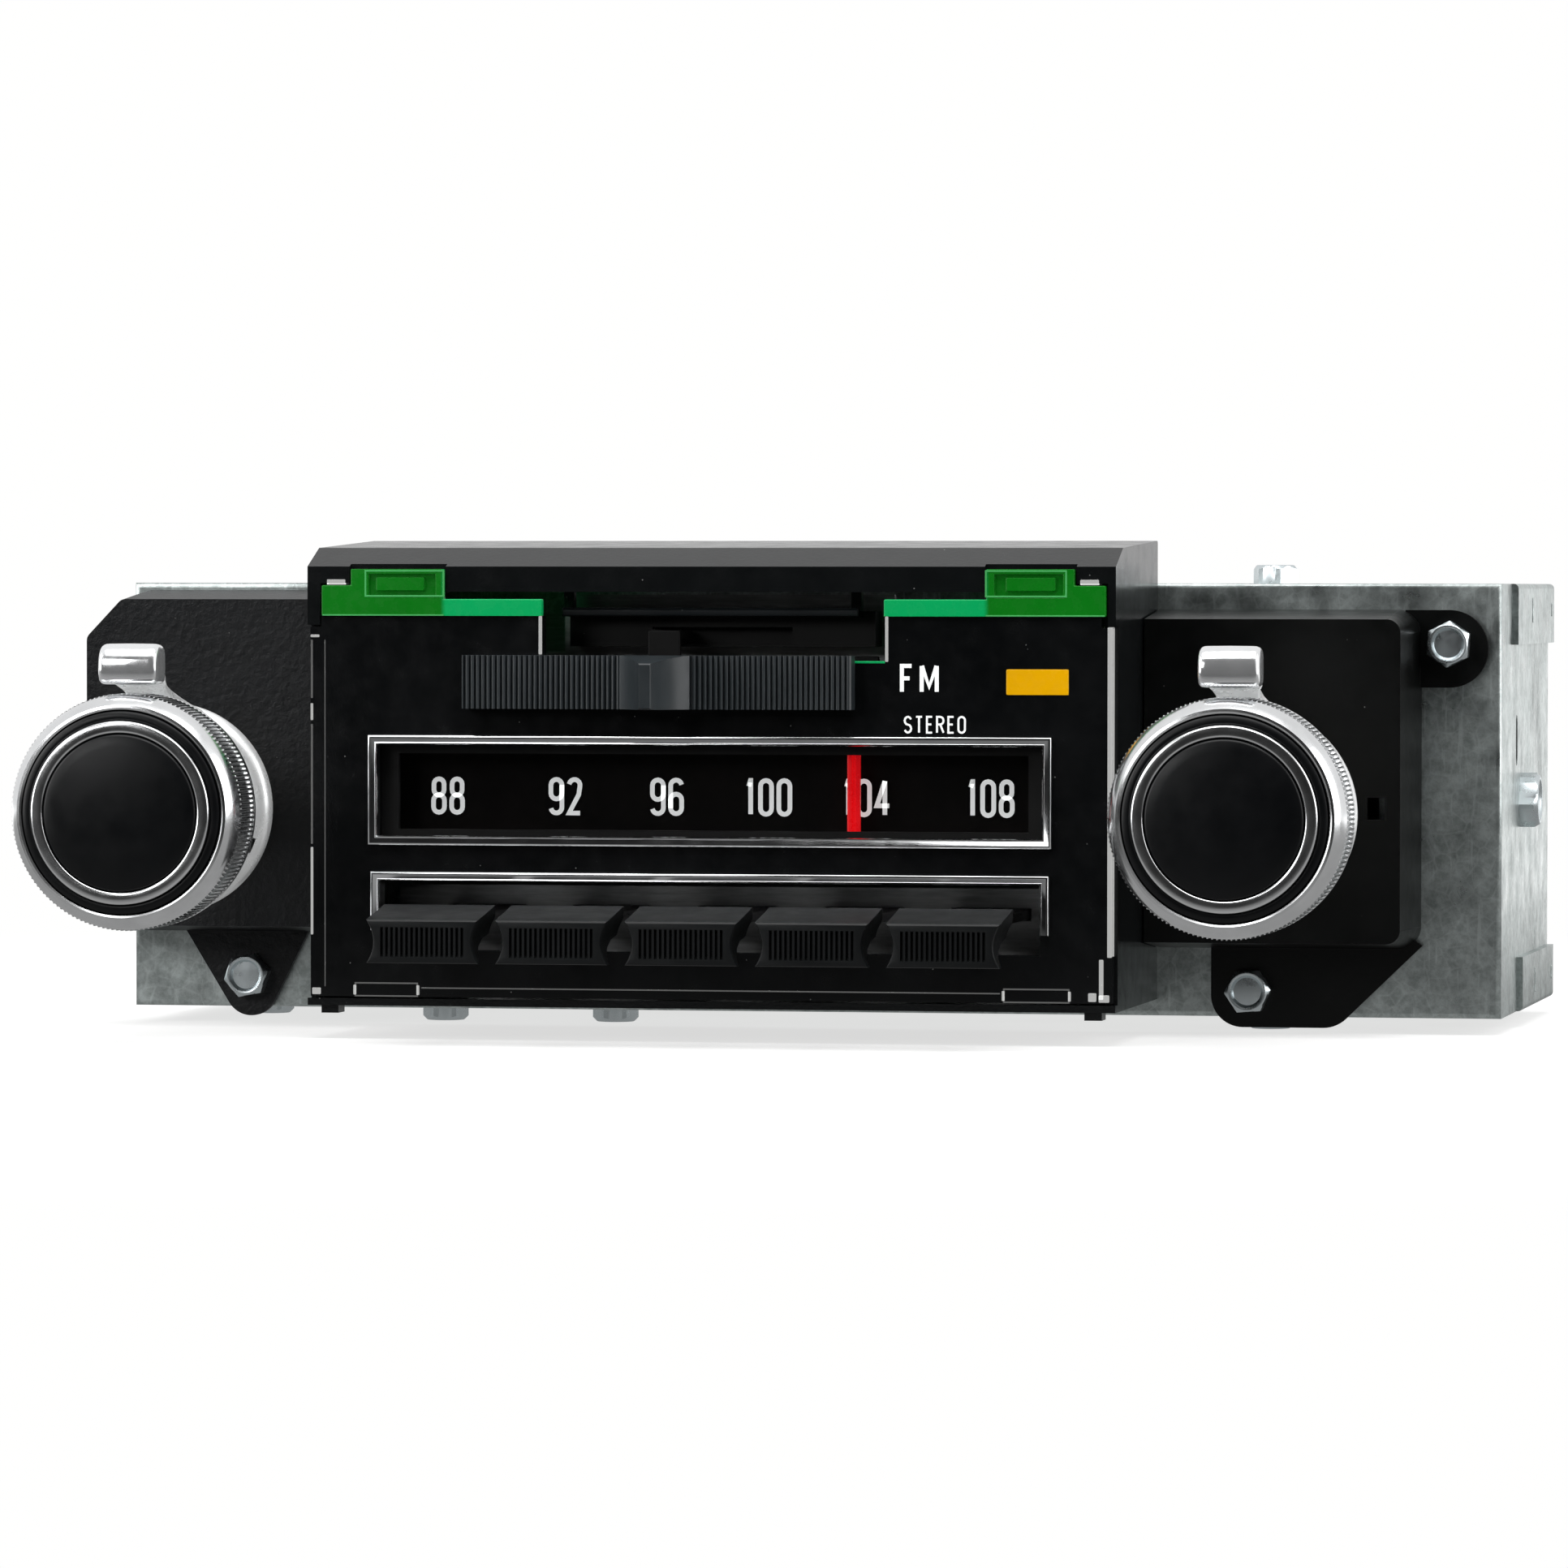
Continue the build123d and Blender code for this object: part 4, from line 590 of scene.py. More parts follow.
def ribbon(points, closed, width, front, back):
    """A flat stroke of constant width along points in X and Z."""
    clean = without_doubles(points)
    if closed and hypot(clean[0][0] - clean[-1][0], clean[0][1] - clean[-1][1]) < CLOSE:
        clean.pop()
    count, half, rows = len(clean), width / 2, []
    for index, (x, z) in enumerate(clean):
        before = Vector(clean[index - 1]) if closed or index else None
        after = Vector(clean[(index + 1) % count]) if closed or index < count - 1 else None
        here = Vector((x, z))
        entering = (here - before).normalized() if before is not None else (after - here).normalized()
        leaving = (after - here).normalized() if after is not None else entering
        middle = (entering + leaving).normalized()
        reach = min(half / max(0.3, middle.dot(entering)), half * 1.8)
        side = Vector((-middle.y, middle.x)) * reach
        sides = ((here + side, front), (here - side, front), (here - side, back), (here + side, back))
        rows += [(spot.x, y, spot.y) for spot, y in sides]
    faces = []
    for index in range(count if closed else count - 1):
        here, there = index * 4, (index + 1) % count * 4
        faces += [(here + turn, here + (turn + 1) % 4, there + (turn + 1) % 4, there + turn) for turn in range(4)]
    if not closed:
        faces += [(0, 1, 2, 3), tuple(range(count * 4 - 1, count * 4 - 5, -1))]
    return rows, faces


def lettering(text, middle, low, high, letter_wide, gap, stroke, front):
    """Strokes of a short text centred on middle, between two heights, lying just in front of a face."""
    widths = {"1": 0.62, "M": 1.25, "F": 0.9, "E": 0.85, "T": 0.95}
    wides = [letter_wide * widths.get(letter, 1.0) for letter in text]
    place = middle - (sum(wides) + gap * (len(text) - 1)) / 2
    shapes = []
    for letter, wide in zip(text, wides):
        for points, closed in glyph(letter, wide - stroke, high - low - stroke):
            moved = [(place + stroke / 2 + x, low + stroke / 2 + z) for x, z in points]
            shapes.append(ribbon(moved, closed, stroke, front - 0.05, front + 0.02))
        place += wide + gap
    return joined(*shapes)


# ---- knobs and levers ----
KNURL_TEETH = 156
TOOTH_DEPTH = 0.5
HUB_LENGTH = 4.5            # how far the knob's hub reaches behind its ring
TRIM_OUTER = 13.95
TRIM_INNER = 12.0
CAP_DISH = 0.9              # how far the cap's edge lies behind its middle


def knob(name):
    """Knurled chrome ring, black insert with a domed cap, and the thin bright trim ring between."""
    low, high = span(name)
    centre = ((low.x + high.x) / 2, (low.z + high.z) / 2)
    radius, front, hub = (high.x - low.x) / 2 - 0.2, low.y, high.y
    back = hub - HUB_LENGTH
    insert_low, _ = span(f"{name}_insert")
    face, peak = front - 0.4, insert_low.y
    ring = [
        (2.0, hub), (2.0, -26.0), (15.45, -26.0), (15.45, front + 0.7), (15.6, front + 0.15), (15.9, front),
        (16.3, front + 0.1), (16.9, front + 0.75), (17.35, front + 1.5), (17.65, front + 2.3), (17.8, front + 2.9),
        (radius, front + 3.2, True), (radius, back - 1.5, True),
        (17.85, back - 1.2), (17.95, back - 0.9), (17.95, back - 0.3), (17.6, back), (16.6, back), (16.6, back - 4.4),
        (5.5, back - 4.4), (5.5, hub),
    ]
    turned = lathe(ring, KNURL_TEETH * 4, centre, KNURL_TEETH, TOOTH_DEPTH)
    piece(f"{name}_ring", turned, "knob_chrome", (name,), name)
    rim, inner, outer = peak + CAP_DISH, TRIM_INNER, TRIM_OUTER
    insert = [(0.0, -26.2), (0.0, peak)]
    insert += [(11.5 * share / 8, peak + CAP_DISH * (share / 8) ** 2) for share in range(1, 9)]
    insert += [
        (11.75, rim + 0.12), (11.9, rim + 0.35), (11.93, rim + 0.7), (11.93, face + 1.6), (outer + 0.05, face + 1.6),
        (outer + 0.05, face + 0.25), (outer + 0.25, face + 0.05), (outer + 0.5, face), (15.0, face + 0.1),
        (15.3, face + 0.3), (15.4, face + 0.7), (15.4, -26.2),
    ]
    piece(f"{name}_cap", lathe(insert, 128, centre), "knob_black", (f"{name}_insert",), name)
    trim = [
        (inner, face + 1.5), (inner, face - 0.2), (inner + 0.06, face - 0.4), (inner + 0.2, face - 0.56),
        (inner + 0.45, face - 0.62), (outer - 0.45, face - 0.62), (outer - 0.2, face - 0.54),
        (outer - 0.06, face - 0.36), (outer, face - 0.1), (outer, face + 1.5),
    ]
    piece(f"{name}_trim", lathe(trim, 128, centre), "knob_chrome", body=name, sharp=50)


NOTCH_ANGLE = radians(112.6)     # clockwise from the top, seen from the front
STRIP_STATIONS = (                # y, z of the strip's middle, half width
    (-3.6, 13.9, 6.2), (-5.4, 14.5, 5.6), (-8.0, 15.4, 4.7), (-11.0, 16.4, 4.0), (-14.5, 17.5, 3.5),
    (-17.5, 18.5, 3.35), (-19.6, 19.35, 3.6), (-21.3, 20.0, 4.1), (-23.0, 20.5, 4.4),
)
STRIP_HALF_THICK = 0.8
STRIP_EDGE = 0.35
PAD_TOP = 25.5
PAD_CENTRE = (-25.8, 22.4)
PAD_SECTION = (                   # y, z round the finger pad
    (-28.5, 19.6), (-28.85, 20.4), (-29.0, 21.4), (-28.95, 22.6), (-28.75, 23.5), (-28.35, 24.3), (-27.7, 24.95),
    (-26.9, 25.35), (-25.9, 25.5), (-24.0, 25.4), (-23.2, 25.1), (-22.7, 24.5), (-22.5, 23.6), (-22.55, 20.3),
    (-22.9, 19.6), (-23.6, 19.35), (-27.8, 19.35),
)
PAD_SIDE = ((4.6, 0.62), (4.57, 0.76), (4.45, 0.87), (4.2, 0.95), (3.85, 0.988), (3.3, 1.0))
PAD_STATIONS = (                  # across, share of the section
    *[(-across, share) for across, share in PAD_SIDE], (0.0, 1.012), *reversed(PAD_SIDE),
)


def lever(name, shaft_x):
    """Bright disc with a hub and a drive notch, its bent strip and the finger pad at the strip's end. A black block
    just proud of the notch paints the notch's shade.
    """
    low, high = span(name)
    rim = 16.2
    disc = [
        (2.05, high.y), (2.05, -14.5), (5.8, -14.5), (6.0, -14.3), (6.0, -7.0), (11.6, -6.1), (12.5, -5.95),
        (12.7, -5.9), (13.7, -5.75), (14.7, -5.55), (14.9, -5.5), (15.5, -5.2), (16.0, -4.7), (rim, -4.2),
        (rim, -2.8), (16.0, -2.6), (14.4, -2.6), (5.2, -4.4), (5.2, -1.5), (3.4, -1.5), (3.4, high.y),
    ]
    notch = (NOTCH_ANGLE, radians(4.1), 12.6, 14.8, 1.3)
    turned = lathe(disc, 180, (shaft_x, 0.0), dent=notch)
    edge, thick, rings = STRIP_EDGE, STRIP_HALF_THICK, []
    for y, z, half in STRIP_STATIONS:
        section = [
            (-half, -thick + edge), (-half + edge, -thick), (half - edge, -thick), (half, -thick + edge),
            (half, thick - edge), (half - edge, thick), (-half + edge, thick), (-half, thick - edge),
        ]
        rings.append([(shaft_x + across, y, z + up) for across, up in section])
    piece(f"{name}_disc", joined(turned, loft(rings)), "knob_chrome", (name,), name, sharp=40, material="satin_chrome")
    slot_x, slot_z = shaft_x + 13.65 * sin(NOTCH_ANGLE), 13.65 * cos(NOTCH_ANGLE)
    along, aside = (sin(NOTCH_ANGLE), cos(NOTCH_ANGLE)), (cos(NOTCH_ANGLE), -sin(NOTCH_ANGLE))
    outline = [
        (slot_x + along[0] * a * 1.15 + aside[0] * b * 0.9, slot_z + along[1] * a * 1.15 + aside[1] * b * 0.9)
        for a, b in ((-1, -0.6), (-0.6, -1), (0.6, -1), (1, -0.6), (1, 0.6), (0.6, 1), (-0.6, 1), (-1, 0.6))
    ]
    # black block over the notch: painted shade in the recess
    piece(f"{name}_slot", prism(outline, -5.95, -4.2, "Y"), "knob_black", body=name, material="painted_shade_black")
    (mid_y, mid_z), grown = PAD_CENTRE, high.z - PAD_TOP
    rings = [
        [(shaft_x + across, mid_y + (y - mid_y) * share, mid_z + (z - mid_z) * share + grown) for y, z in PAD_SECTION]
        for across, share in PAD_STATIONS
    ]
    piece(f"{name}_pad", loft(rings), "knob_chrome", body=name, sharp=60, material="pad_chrome")


# ---- slider and pushbuttons ----
RIB_PITCH = 0.82
RIB_DEPTH = 0.6
HUMP_HALF = 5.6


def band_slider():
    """Ribbed slider with a smooth ridge in the middle, its neck through the plate and its arm behind, the arm black as
    painted shade where it shows in the notch.
    """
    low, high = span("band_slider")
    back, tip = -0.3, low.y
    bottom, top = 15.5, 23.7
    left, right = low.x, high.x
    middle = (left + right) / 2

    def wing(x):
        """Front of a wing: nearly flat at its end, swelling forward beside the ridge."""
        near = max(0.0, 1.0 - (abs(x - middle) - HUMP_HALF) / 7.0)
        return -3.75 - 0.75 * near**2

    outline = [(left, back), (left, wing(left) + 0.3), (left + 0.25, wing(left))]
    ribs = int((middle - HUMP_HALF - left - 0.4) / RIB_PITCH)
    for side in (-1, 1):
        start = left + 0.4 if side < 0 else middle + HUMP_HALF + 0.05
        for rib in range(ribs + 1):
            x = start + rib * RIB_PITCH
            front = wing(x)
            outline += [
                (x, front + RIB_DEPTH), (x + 0.16, front + RIB_DEPTH), (x + 0.3, front + 0.08), (x + 0.42, front),
                (x + 0.6, front), (x + 0.72, front + 0.08),
            ]
        if side < 0:
            outline += [(middle - HUMP_HALF, -4.0), (middle + HUMP_HALF, -4.0)]
    outline += [(right - 0.25, wing(right)), (right, wing(right) + 0.3), (right, back)]
    wings = prism(without_doubles(outline), bottom, top, "Z")
    rings = []
    for y, half, lower, upper in (
        (-3.4, HUMP_HALF, bottom, top), (-4.4, HUMP_HALF - 0.15, bottom, top), (-5.2, 4.5, bottom, top - 0.1),
        (-7.5, 2.95, bottom, top - 0.45), (-10.0, 1.7, bottom, top - 0.85), (tip + 0.2, 1.0, bottom + 0.1, top - 1.15),
        (tip, 0.85, bottom + 0.3, top - 1.35),
    ):
        near, far = middle - half, middle + half
        rings.append([(near, y, lower), (far, y, lower), (far, y, upper), (near, y, upper)])
    piece("band_slider_grip", joined(wings, loft(rings)), "slider_plastic", ("band_slider",), "band_slider", sharp=28)
    arm = joined(
        block((middle - 4.85, -0.3, 18.3), (middle + 4.85, 2.8, 20.7)),
        block((middle - 12.5, 2.8, 16.6), (middle + 12.5, 4.0, 22.4)),
        block((middle - 2.5, 2.85, 22.0), (middle + 2.5, 3.95, 27.5)),
        block((middle - 2.5, 3.95, 26.2), (middle + 2.5, high.y, 27.5)),
    )
    # the arm is painted black to read as the notch's shade
    piece("band_slider_arm", arm, "slider_plastic", body="band_slider", bevel=0.2, material="painted_shade_black")


GROOVE_COUNT = 17
GROOVE_PITCH = 0.78
GROOVE_WIDE = 0.42
GROOVE_DEEP = 1.0
SCOOP = 1.1                 # how far a pushbutton's sides curve in at mid height


def pushbutton(name):
    """Pushbutton cap with scooped sides, a rounded edge and a field of upright grooves."""
    low, high = span(name)
    middle, half = (low.x + high.x) / 2, (high.x - low.x) / 2
    front, back = low.y, high.y
    bottom, top = low.z, -16.3
    rise = (high.z - top) / (back - front)
    side_steps = 8

    def ring(y, inset, lower, upper):
        points = []
        for side in (1, -1):
            for step in range(side_steps + 1):
                share = step / side_steps if side > 0 else 1 - step / side_steps
                z = lower + inset + (upper - lower - 2 * inset) * share
                level = (z - (bottom + top) / 2) / ((top - bottom) / 2)
                scoop = SCOOP * max(0.0, 1 - min(1.0, abs(level)) ** 2)
                points.append((middle + side * (half - scoop - inset), y, z))
        return points

    stations = [
        (front, 0.34, bottom, top), (front + 0.07, 0.14, bottom, top), (front + 0.25, 0.02, bottom, top + 0.06),
        (front + 0.8, 0.0, bottom, top + rise * 0.6), (front + 1.5, 0.0, bottom + 0.1, top + rise * 1.5),
        (front + 3.0, 0.0, bottom + 1.3, top + rise * 3.0), (front + 5.0, 0.0, bottom + 2.5, top + rise * 5.0),
        (front + 8.0, 0.0, bottom + 3.6, top + rise * 8.0), (back - 0.4, 0.0, bottom + 4.15, high.z),
        (back, 0.35, bottom + 4.2, high.z),
    ]
    rings = [ring(*station) for station in stations]
    points, faces = loft(rings)
    faces = faces[1:]
    outline = list(range(len(rings[0])))
    groove_low, groove_high = bottom + 0.95, top - 1.1
    edge = (GROOVE_COUNT - 1) / 2 * GROOVE_PITCH
    bottom_row, top_row = [], []
    for number in range(GROOVE_COUNT):
        x = middle - edge + number * GROOVE_PITCH
        start = len(points)
        for y, slack, lift in ((front, 0.0, 0.0), (front + GROOVE_DEEP, 0.04, 0.5)):
            left, right = x - GROOVE_WIDE / 2 + slack, x + GROOVE_WIDE / 2 - slack
            lower, upper = groove_low + lift, groove_high - lift
            points += [(left, y, lower), (right, y, lower), (right, y, upper), (left, y, upper)]
        faces.append(tuple(range(start + 4, start + 8)))
        for turn, after in ((0, 1), (1, 2), (2, 3), (3, 0)):
            faces.append((start + turn, start + after, start + 4 + after, start + 4 + turn))
        if number:
            faces.append((start - 8 + 1, start, start + 3, start - 8 + 2))
        bottom_row += [start, start + 1]
        top_row += [start + 3, start + 2]
    right_side, left_side = outline[: side_steps + 1], outline[side_steps + 1:]
    faces += [
        (left_side[-1], *bottom_row, right_side[0]), (right_side[-1], *reversed(top_row), left_side[0]),
        (*right_side, top_row[-1], bottom_row[-1]), (*left_side, bottom_row[0], top_row[0]),
    ]
    piece(f"{name}_cap", (points, faces), "button_plastic", (name,), name, sharp=34)


# ---- dial ----
NUMBERS = (("88", -42.6), ("92", -24.0), ("96", -8.0), ("100", 8.0), ("104", 23.3), ("108", 42.6))
NUMBER_LOW = -1.1
NUMBER_HIGH = 4.8


BEZEL_FACE = (                     # inset, y of the bezels' front
    (0.0, -0.03), (0.0, -0.72), (0.07, -0.88), (0.2, -0.97), (0.34, -1.0), (0.5, -0.96), (1.1, -0.78), (1.2, -0.84),
    (1.34, -0.84), (1.45, -0.7),
)


def dial():
    """Bezels, numbers and band names."""
    for node, open_below in (("dial_bezel", False), ("button_bezel", True)):
        low, high = span(node)
        back = high.y if open_below else 1.0
        profile = [*BEZEL_FACE, (1.5, -0.3), (1.55, back), (1.0, back), (1.0, -0.03)]
        bezel = moulding(low.x, high.x, low.z, high.z, profile, open_below)
        piece(f"{node}_trim", bezel, "chrome_trim", (node,), sharp=40)
    front = span("dial_scale")[0].y
    numbers = [lettering(text, x, NUMBER_LOW, NUMBER_HIGH, 2.45, 0.42, 0.72, front) for text, x in NUMBERS]
    piece("dial_numbers", joined(*numbers), "dial_print", material="print")
    names = joined(
        *[lettering(text, x, 17.95, 22.5, 2.35, 0.95, 0.62, 0.0) for text, x in (("FM", 32.8), ("AM", -32.8))],
        lettering("STEREO", 35.2, 11.9, 14.6, 1.3, 0.45, 0.3, 0.0),
    )
    piece("band_names", names, "dial_print", material="print")


def pointer():
    """Red pointer with a raised middle rib, on its carriage."""
    low, high = span("pointer")
    middle, half, front = (low.x + high.x) / 2, 1.0, low.y
    outline = [
        (middle - half, front + 0.8), (middle - half, front + 0.15), (middle - 0.75, front), (middle - 0.3, front),
        (middle - 0.18, front + 0.3), (middle + 0.18, front + 0.3), (middle + 0.3, front), (middle + 0.75, front),
        (middle + half, front + 0.15), (middle + half, front + 0.8),
    ]
    needle = prism(outline, low.z, 11.8, "Z")
    carriage = joined(
        block((middle - half, front + 0.8, 10.9), (middle + half, 11.0, 11.8)),
        block((low.x, 10.6, 10.9), (high.x, high.y, 14.6)),
        block((low.x, 13.2, 14.6), (high.x, high.y, high.z)),
    )
    piece("pointer_needle", needle, "pointer_red", ("pointer",), "pointer", sharp=50)
    # the carriage is black as painted shade where it shows through the notch
    piece("pointer_carriage", carriage, "box_black", body="pointer", bevel=0.2)


NOTCH_LOW = 22.8            # height of the lower edge of the plate's notch


def clear_blocks(name, *corners, bevel=0.12, segments=3, look="glowing_clear_edge"):
    """Blocks of the clear plate as one piece, each given by two corners."""
    shape = joined(*[block(low, high) for low, high in corners])
    piece(name, shape, "clear_plastic", bevel=bevel, segments=segments, material=look)


def plate_edge_highlights():
    """Clear cut edges, hook windows and clips of the dial plate, drawn as glowing strips: painted highlights where the
    plate looks lit.
    """
    low, high = span("dial_plate")
    left, right, bottom, back = low.x, high.x, low.z, high.y - 0.1
    clear_blocks(
        "plate_edge_right",
        ((right - 0.75, -0.12, -22.0), (right, back, high.z - 1.6)),
        ((right - 2.0, -0.12, bottom + 0.6), (right - 1.3, 1.6, -22.3)),
        ((right - 2.0, -0.4, bottom + 0.2), (right - 0.4, 0.4, bottom + 1.3)),
        ((right - 3.6, -0.5, bottom + 0.3), (right - 2.4, 0.3, bottom + 1.6)),
        bevel=0.15,
    )
    clear_blocks(
        "plate_edge_left",
        ((left, -0.12, -19.5), (left + 0.4, back, -6.0)),
        ((left, -0.12, 13.6), (left + 0.4, back, 16.2)),
        ((left + 0.3, -0.4, bottom + 0.3), (left + 1.6, 0.4, bottom + 1.3)),
        ((left, -0.12, 26.4), (left + 1.4, 0.6, 26.8)),
    )
    clear_blocks(
        "plate_lines",
        ((left + 0.05, -0.1, 17.0), (left + 0.35, 0.5, 26.0)),
        ((left + 0.05, -0.1, -5.5), (left + 0.35, 0.5, 13.0)),
        ((left + 2.2, -0.06, -27.5), (left + 2.35, 0.2, 26.0)),
        ((-45.0, -0.08, -27.7), (45.3, 0.3, -27.5)),
        bevel=0.05, segments=1, look="glowing_edge_line",
    )
    notch_left, notch_right = span("green_filter_left")[1].x, span("green_filter_right")[0].x
    clear_blocks(
        "notch_edges",
        ((notch_left - 0.6, -0.1, NOTCH_LOW + 1.0), (notch_left - 0.05, 2.3, high.z)),
        ((notch_right + 0.1, -0.1, NOTCH_LOW), (notch_right + 0.6, 2.3, high.z)),
    )
    # green strip along the notch's lower edge: a painted highlight, glowing green
    sill = block((notch_right - 5.2, -0.1, NOTCH_LOW - 0.25), (notch_right + 0.1, 2.3, NOTCH_LOW + 0.1))
    piece("notch_sill", sill, "green_plastic", bevel=0.1)
    # hook windows, their ends and the filter clips glow: painted highlights
    for side, start, end in (("left", -55.5, -45.5), ("right", 45.8, 56.0)):
        outline = frame_lines(start, end, -29.0, -26.8, 0.22, -0.12, 0.5)
        piece(f"hook_window_{side}", outline, "clear_plastic", material="glowing_edge_line")
        ends = [((x - 0.2, -0.3, -28.7), (x + 0.2, 0.8, -27.2)) for x in (start, end)]
        clear_blocks(f"hook_ends_{side}", *ends)
    for side, centre in (("left", -58.4), ("right", 59.0)):
        clear_blocks(f"filter_clip_{side}", ((centre - 1.4, -0.5, 34.5), (centre + 1.4, 0.6, 35.3)))
    # lighter grey bar across the notch: a painted highlight on a bar in shade
    bar = prism([(7.3, 29.75), (7.1, 30.1), (7.1, 30.6), (7.4, 30.95), (8.4, 31.0), (8.4, 29.6)], -24.3, 22.0, "X")
    piece("notch_bar_highlight", bar, "slider_plastic", bevel=0.1)


def frame_lines(left, right, low, high, wide, front, back):
    """Four thin bars round a rectangle."""
    return moulding(left, right, low, high, [(0, back), (0, front), (wide, front), (wide, back)])


def filter_rim_highlights():
    """Pale glowing green lines round the green filters' edges: painted highlights where the edges look lit."""
    shapes = []
    for node, outward in (("green_filter_left", -1), ("green_filter_right", 1)):
        low, high = span(node)
        front = low.y
        inner, outer, tip = (high.x - 15.3, low.x, high.x) if outward < 0 else (low.x + 15.6, high.x, low.x)
        left, right = sorted((inner, inner + outward * 12.6))
        shapes.append(frame_lines(left, right, high.z - 4.3, high.z - 0.15, 0.28, front - 0.06, front + 0.2))
        left, right = sorted((inner, outer))
        shapes.append(block((left + 0.1, front - 0.06, low.z), (right - 0.1, front + 0.1, low.z + 0.22)))
        left, right = sorted((inner, tip))
        shapes.append(block((left, front + 0.02, low.z), (right, front + 0.3, low.z + 0.2)))
    piece("filter_rim_highlights", joined(*shapes), "green_plastic", bevel=0.05, segments=1, material="green_rim_glow")


# ---- screws and case details ----
HEAD_ACROSS = 6.35                  # a quarter-inch hexagon
HEAD_TURNS = (11.0, 4.0, 26.0)      # how far each bracket screw's head is turned
STUD_RADIUS = 3.175
THREAD_PITCH = 1.27


def screws():
    """Hexagon heads of every screw, bolt and nut, with their shanks and the rear stud's thread."""
    heads = []
    for (low, high), turn in zip(sorted(islands("bracket_screws"), key=lambda box: box[0].x), HEAD_TURNS):
        centre = (low + high) / 2
        base = low.y + 3.0
        heads.append(hex_head((centre.x, base, centre.z), (0, -1, 0), HEAD_ACROSS, 3.0, 0.8, turn))
        heads.append(lathe([(0.0, base), (1.5, base), (1.5, high.y), (0.0, high.y)], 24, (centre.x, centre.z)))
    piece("bracket_screw_heads", joined(*heads), "zinc_screw", ("bracket_screws",), sharp=30)
    heads = []
    for low, high in islands("cover_screws"):
        centre = (low + high) / 2
        base, up, height = (high.z - 3.0, 1, 3.0) if centre.z > 0 else (low.z + 2.6, -1, 2.6)
        heads.append(hex_head((centre.x, centre.y, base), (0, 0, up), HEAD_ACROSS, height, 0.6, 20.0))
    piece("cover_screw_heads", joined(*heads), "zinc_screw", ("cover_screws",), sharp=30)
    bolt, stud = sorted(islands("support_studs"), key=lambda box: -box[1].x)
    middle = (bolt[0] + bolt[1]) / 2
    side = hex_head((bolt[1].x - 3.0, middle.y, middle.z), (1, 0, 0), 8.0, 3.0, 0.5, 8.0)
    centre = ((stud[0].x + stud[1].x) / 2, (stud[0].z + stud[1].z) / 2)
    start, end, radius = stud[0].y, stud[1].y, STUD_RADIUS
    thread = [(0.0, start), (radius - 0.3, start)]
    for turn in range(int((end - start - 1.0) / THREAD_PITCH)):
        y = start + 0.3 + turn * THREAD_PITCH
        thread += [(radius - 0.35, y), (radius, y + 0.5), (radius, y + 0.7), (radius - 0.35, y + 1.2)]
    thread += [(radius - 0.6, end), (0.0, end)]
    nut = hex_head((centre[0], 119.6, centre[1]), (0, 1, 0), stud[1].z - stud[0].z, 4.0)
    shapes = joined(side, lathe(thread, 48, centre), nut)
    piece("stud_heads", shapes, "zinc_screw", ("support_studs",), sharp=30)


RIB_PLACES = ((0.39, 4.0), (0.93, 2.2))      # along each cover's flange, and length


def flange_ribs():
    """Short upright ribs pressed in the covers' side flanges."""
    shapes = []
    for node, level in (("top_cover", -4.2), ("bottom_cover", 4.2)):
        low, high = span(node)
        z = (high.z if level < 0 else low.z) + level
        for place, long in RIB_PLACES:
            y = low.y + (high.y - low.y) * place
            for face, outward in ((high.x, 1), (low.x, -1)):
                left, right = sorted((face - outward * 0.2, face + outward * 0.16))
                shapes.append(block((left, y - 0.35, z - long / 2), (right, y + 0.35, z + long / 2)))
    piece("flange_ribs", joined(*shapes), "galvanised", bevel=0.14)


# ---- put it together ----
for knob_name in ("volume_knob", "tuning_knob"):
    knob(knob_name)
for lever_name, knob_name in (("tone_lever", "volume_knob"), ("balance_lever", "tuning_knob")):
    knob_low, knob_high = span(knob_name)
    lever(lever_name, (knob_low.x + knob_high.x) / 2)
band_slider()
for number in range(1, 6):
    pushbutton(f"button_{number}")
dial()
pointer()
plate_edge_highlights()
filter_rim_highlights()
screws()
flange_ribs()

ROUNDED = {
    "nose_housing": 0.35, "left_control_housing": 0.5, "right_control_housing": 0.5,
    "green_filter_left": 0.18, "green_filter_right": 0.18, "stereo_lens": 0.2,
    "heat_sink": 0.3, "rear_sockets": 0.25,
}
for node_name, node in frame["nodes"].items():
    node.data.materials.clear()
    node.data.materials.append(MATERIALS[SLOT_OF[node_name]])
    weld = node.modifiers.new("weld", "WELD")
    weld.merge_threshold = WELD
    if node_name in ROUNDED:
        soften(node, ROUNDED[node_name], 2, 40.0)
frame["nodes"]["green_filter_right"].data.materials[0] = MATERIALS["green_right"]


# ---- floor, light and camera ----
WHITE = (1.0, 1.0, 0.995, 1.0)
FLOOR_REACH = 6.0           # metres from the middle to each side
FLOOR_GREY = (0.42, 0.42, 0.42, 1.0)
FLOOR_GLOW = 0.68           # light of its own, so that it looks pale
FLOOR_MIRRORED = 0.3        # how bright the floor looks in reflections: near the radio and far behind it
FLOOR_BEHIND = 1.1
FRONT_DARK = 0.015          # brightness of floor and studio in front, which the black faces mirror
SURROUND = 0.95
SENSOR = 36.0


